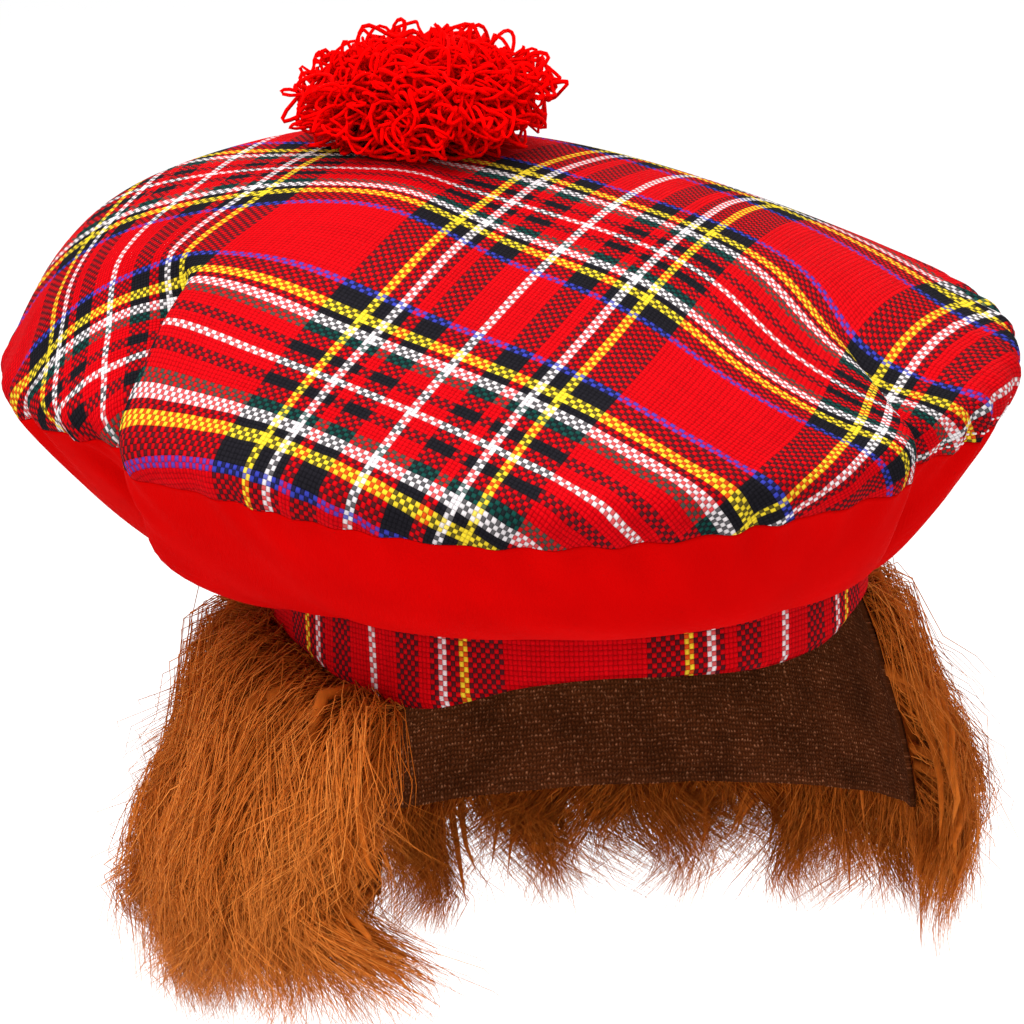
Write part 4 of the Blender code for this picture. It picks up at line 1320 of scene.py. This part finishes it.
class TAM_OT_fur(bpy.types.Operator):
    """Makes the long ginger pile: thick locks, and strands over them"""

    bl_idname = "tam.fur"
    bl_label = "Fur"

    def execute(self, context):
        fur = context.scene.tam_fur
        colours = (fur.dark, fur.middle, fur.light)
        material = toned("fur_strands", colours, 0.7, 0.05, 420.0, 0.0002)
        self.undercoat(fur, material)
        for seed, tract in enumerate(TRACTS, 61):
            self.strands(fur, tract, seed, material)
        return {"FINISHED"}

    def undercoat(self, fur, material):
        """A thin skin with thick tapering locks on it, toned darker than the strands as painted shade inside
        the pile.
        """
        columns, rows = 150, 22
        share, part = np.meshgrid(np.linspace(0, 1, columns), np.linspace(0, 1, rows), indexing="ij")
        start = panel_start(share)
        depth = start + (1 - start) * part
        rng = np.random.default_rng(15)
        rough = 1 + 0.16 * waves(rng, share, 7, 0.012, 0.05)
        ground = fur.wall + bpy.context.scene.tam_shape.gap
        thick = (pile_offset(share, depth, "skin") - ground) * SKIN_THICK * rough
        thick *= end_taper(share) * thin_top(part)
        outer = panel_point(share, depth, ground + thick)
        inner = panel_point(share, depth, np.full_like(share, ground))
        skin = wall_mesh("hair_undercoat", outer, inner, False)
        # The skin takes a dark tone: painted shade under the strands
        tones = skin.attributes.new("tone", "FLOAT", "POINT")
        tones.data.foreach_set("value", np.full(len(skin.vertices), SKIN_SHADE_TONE))
        count = fur.locks
        shares = (rng.permutation(count) + rng.uniform(0, 1, count)) / count
        roots = rng.uniform(0, 1, count) ** 0.9
        lengths = fur.strand * rng.uniform(0.62, 0.92, count)
        lengths = hung_length(shares, roots, lengths, fur.fringe * rng.uniform(0.25, 0.7, count))
        layers = rng.uniform(0.55, 0.88, count)
        paths = hanging_paths(rng, shares, roots, lengths, layers, LOCK_PARTS, np.zeros(count), 0.35)
        t = np.linspace(0, 1, LOCK_PARTS)[None, :]
        taper = np.sin(np.pi * np.clip(0.12 + 0.88 * t, 0, 1)) ** 0.6 * (1 - 0.35 * t)
        radii = fur.lock_width / 2 * rng.uniform(0.7, 1.2, (count, 1)) * taper
        # The locks are toned darker than the strands, darkest at the root: painted shade inside the pile
        tone = 0.20 + 0.34 * t + rng.uniform(-0.08, 0.08, (count, 1))
        locks = tube_mesh("locks", paths, radii, panel_side(shares), 7, tone)
        made = bmesh.new()
        made.from_mesh(skin)
        made.from_mesh(locks)
        made.to_mesh(skin)
        made.free()
        bpy.data.meshes.remove(locks)
        new_piece("hair_undercoat", skin, material, "hair_pile")

    def strands(self, fur, tract, seed, material):
        """The strands of one tract of the fur."""
        rng = np.random.default_rng(seed)
        count = int(fur.strands * tract.crowd)
        shares = rng.uniform(tract.low, tract.high, count)
        low_down = rng.uniform(0, 1, count) < tract.low_rooted
        roots = np.where(low_down, rng.uniform(0.78, 1, count), rng.uniform(0, 1, count) ** 1.7)
        lengths = fur.strand * rng.uniform(0.66, 1.18, count)
        fringe = fur.fringe * tract.fringe * rng.uniform(0.42, 1.05, count)
        lengths = hung_length(shares, roots, lengths, fringe)
        layers = rng.uniform(0.60, 1.16, count)
        layers = np.where(roots < 0.2, rng.uniform(0.30, 1.20, count), layers)
        layers = np.where(low_down, rng.uniform(0.15, 1.05, count), layers)
        stray = np.where(rng.uniform(0, 1, count) < 0.20, rng.uniform(0.15, 1.0, count), 0.0)
        paths = hanging_paths(rng, shares, roots, lengths, layers, STRAND_PARTS, stray, 1.0)
        t = np.linspace(0, 1, STRAND_PARTS)[None, :]
        radii = fur.strand_width / 2 * rng.uniform(0.7, 1.25, (count, 1)) * (1 - 0.75 * t)
        # Painted shade and light: strands lying lower in the pile are darker, those further out lighter; the
        # tone also runs lighter from root to tip
        tone = 0.40 + 0.26 * t**0.8 + 0.32 * (layers[:, None] - 0.75)
        tone = tone + rng.normal(0, 0.12, (count, 1)) + 0.07 * waves(rng, shares, 6, 0.012, 0.05)[:, None]
        mesh = tube_mesh(tract.name, paths, radii, panel_side(shares), 3, np.clip(tone, 0, 1))
        new_piece(tract.name, mesh, material, "hair_pile")


# The pompom

def crown_height(x, y):
    """Height of the crown's top over places near its peak, before the folds."""
    azimuths = np.arange(0.0, 360.0)
    one_row = np.ones(1)
    shoulder = hat_profile(azimuths, one_row, np.zeros(0), np.zeros(0))[:, 0]
    peak = crown_peak()
    offset = shoulder - peak
    bearing = np.degrees(np.arctan2(offset[:, 0], -offset[:, 1])) % 360
    order = np.argsort(bearing)
    way = np.degrees(np.arctan2(x - peak[0], peak[1] - y)) % 360
    azimuth = np.interp(way, bearing[order], azimuths[order])
    reach = np.interp(way, bearing[order], np.hypot(offset[:, 0], offset[:, 1])[order])
    edge = np.interp(way, bearing[order], shoulder[order, 2])
    share = np.hypot(x - peak[0], y - peak[1]) / reach
    return edge + (peak[2] - edge) * (1 - share ** around(azimuth, CROWN_SECTIONS, "fullness"))


# A loop's points, where its foot and top lie in the ball, how far down loops go, and the core's size
LOOP_PARTS = 22
LOOP_FOOT = 0.46
LOOP_REACH = 0.46
LOOPS_COVER = 1.78
CORE_SIZE = 0.66


class TAM_OT_pompom(bpy.types.Operator):
    """Makes the pompom of crinkled yarn loops"""

    bl_idname = "tam.pompom"
    bl_label = "Pompom"

    def execute(self, context):
        pompom = context.scene.tam_pompom
        low, high = (np.array(corner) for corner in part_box("pompom"))
        half = (high - low) / 2
        centre = crown_peak() + UP * (half[2] - pompom.seat)
        rng = np.random.default_rng(77)
        count = pompom.loops
        index = np.arange(count)
        rise = 1 - LOOPS_COVER * (index + 0.5) / count
        spin = index * math.pi * (3 - math.sqrt(5))
        flat = np.sqrt(np.clip(1 - rise**2, 0, 1))
        way = np.stack([flat * np.cos(spin), flat * np.sin(spin), rise], axis=1)
        side = unit(np.cross(way, rng.normal(0, 1, (count, 3))))
        t = np.linspace(0, 1, LOOP_PARTS)[None, :]
        tops = LOOP_REACH + rng.uniform(-0.24, 0.10, (count, 1))
        out = LOOP_FOOT + tops * np.sin(np.pi * t) ** 0.8
        spread = rng.uniform(0.08, 0.30, (count, 1)) * np.cos(np.pi * t)
        spine = way[:, None] * out[..., None] + side[:, None] * spread[..., None]
        paths = centre + spine * half
        for _ in range(3):
            turns = rng.uniform(0.8, 2.9, (count, 1, 3))
            phase = rng.uniform(0, 2 * np.pi, (count, 1, 3))
            paths += pompom.crinkle * 0.6 * np.sin(2 * np.pi * turns * t[..., None] + phase)
        radii = pompom.yarn / 2 * rng.uniform(0.75, 1.15, (count, 1)) * (1 - 0.45 * t**6)
        floor = crown_height(paths[..., 0], paths[..., 1]) + pompom.yarn
        paths[..., 2] = np.maximum(paths[..., 2], floor)
        # Painted shade: yarn deeper in the ball takes a darker tone, yarn further out a lighter one
        deep = np.linalg.norm((paths - centre) / half, axis=-1)
        tone = np.clip((deep - 0.55) / 0.4, 0, 1) * 0.8 + rng.uniform(0, 0.2, (count, 1))
        cross = unit(np.cross(way, side))
        mesh = tube_mesh("pompom_yarn", paths, radii, cross, 4, tone)
        # The core gets no tone and so the darkest yarn: a dark ball of painted shade inside the loops
        core = bmesh.new()
        bmesh.ops.create_icosphere(core, subdivisions=3, radius=CORE_SIZE)
        for vert in core.verts:
            place = centre + np.array(vert.co) * half
            place[2] = max(place[2], float(crown_height(place[0], place[1])) + pompom.yarn / 2)
            vert.co = place
        core.from_mesh(mesh)
        core.to_mesh(mesh)
        core.free()
        material = toned("yarn", (pompom.dark, pompom.light), 0.9, 0.02, 900.0, 0.0003)
        new_piece("pompom_yarn", mesh, material, "pompom")
        return {"FINISHED"}


# The stage, with its lamps' angles, distance and size, and their power in watts

Lamp = namedtuple("Lamp", "name azimuth_deg elevation_deg distance size power")
LAMPS = (
    Lamp("key", -58.0, 56.0, 1.5, 0.7, 20.0),
    Lamp("fill", 50.0, 60.0, 1.7, 1.0, 4.0),
    Lamp("top", 160.0, 66.0, 1.5, 0.9, 10.0),
)


class TAM_OT_stage(bpy.types.Operator):
    """Sets the camera, the pale floor and the soft light"""

    bl_idname = "tam.stage"
    bl_label = "Stage"

    def execute(self, context):
        stage = context.scene.tam_stage
        self.camera(context, stage)
        self.floor(context, stage)
        self.lights(context)
        context.scene.view_settings.view_transform = "Standard"
        return {"FINISHED"}

    def camera(self, context, stage):
        """The camera at the photograph's angle, aimed so that the hat sits in its frame."""
        data = bpy.data.cameras.new("camera")
        camera = bpy.data.objects.new("camera", data)
        context.scene.collection.objects.link(camera)
        turned = camera_turn()
        pixel = stage.view_width / PICTURE_SIDE
        middle = PICTURE_SIDE / 2
        aside = Vector(((middle - stage.aim_x) * pixel, (stage.aim_y - middle) * pixel, stage.distance))
        camera.location = Vector((0, 0, stage.aim_height)) + turned @ aside
        camera.rotation_euler = turned.to_euler()
        data.lens = data.sensor_width * stage.distance / stage.view_width
        data.clip_end = 100.0
        context.scene.camera = camera

    def floor(self, context, stage):
        """A wide pale floor below the fur."""
        made = bmesh.new()
        bmesh.ops.create_grid(made, x_segments=1, y_segments=1, size=30.0)
        mesh = bpy.data.meshes.new("floor")
        made.to_mesh(mesh)
        made.free()
        floor = bpy.data.objects.new("floor", mesh)
        floor.location = (0, 0, -stage.floor)
        context.scene.collection.objects.link(floor)
        recipe = Recipe("floor", 0.9, 0.1)
        recipe.colour(opaque(stage.pale))
        mesh.materials.append(recipe.material)

    def lights(self, context):
        """A bright room, and a few broad lamps."""
        world = bpy.data.worlds.new("room")
        context.scene.world = world
        world.use_nodes = True
        background = world.node_tree.nodes["Background"]
        background.inputs["Color"].default_value = (1.0, 1.0, 1.0, 1.0)
        background.inputs["Strength"].default_value = 1.0
        for lamp in LAMPS:
            data = bpy.data.lights.new(lamp.name, "AREA")
            data.size = lamp.size
            data.energy = lamp.power
            light = bpy.data.objects.new(lamp.name, data)
            context.scene.collection.objects.link(light)
            level = math.cos(math.radians(lamp.elevation_deg))
            way = Vector(compass(lamp.azimuth_deg) * level)
            way.z = math.sin(math.radians(lamp.elevation_deg))
            light.location = way * lamp.distance
            light.rotation_euler = way.to_track_quat("Z", "Y").to_euler()


PIECES = (
    TAM_OT_stage,
    TAM_OT_crown,
    TAM_OT_stitches,
    TAM_OT_underside,
    TAM_OT_headband,
    TAM_OT_backing,
    TAM_OT_fur,
    TAM_OT_pompom,
)


class TAM_PT_panel(bpy.types.Panel):
    """Lists the hat's pieces and their sizes"""

    bl_label = "Tam o' shanter"
    bl_idname = "TAM_PT_panel"
    bl_space_type = "VIEW_3D"
    bl_region_type = "UI"
    bl_category = "Tam"

    def draw(self, context):
        layout = self.layout
        for piece in PIECES:
            layout.operator(piece.bl_idname)
        for name, group in GROUPS:
            box = layout.box()
            settings = getattr(context.scene, name)
            for key in group.__annotations__:
                box.prop(settings, key)


def register():
    """Adds the classes and their settings."""
    for name, group in GROUPS:
        bpy.utils.register_class(group)
        setattr(bpy.types.Scene, name, PointerProperty(type=group))
    for made in (*PIECES, TAM_PT_panel):
        bpy.utils.register_class(made)


def unregister():
    """Takes the classes and their settings away."""
    for made in (TAM_PT_panel, *reversed(PIECES)):
        bpy.utils.unregister_class(made)
    for name, group in reversed(GROUPS):
        delattr(bpy.types.Scene, name)
        bpy.utils.unregister_class(group)


def main():
    """Makes every piece in turn."""
    register()
    bpy.ops.tam.stage()
    bpy.ops.tam.headband()
    bpy.ops.tam.underside()
    bpy.ops.tam.crown()
    bpy.ops.tam.stitches()
    bpy.ops.tam.backing()
    bpy.ops.tam.fur()
    bpy.ops.tam.pompom()


if __name__ == "__main__":
    main()
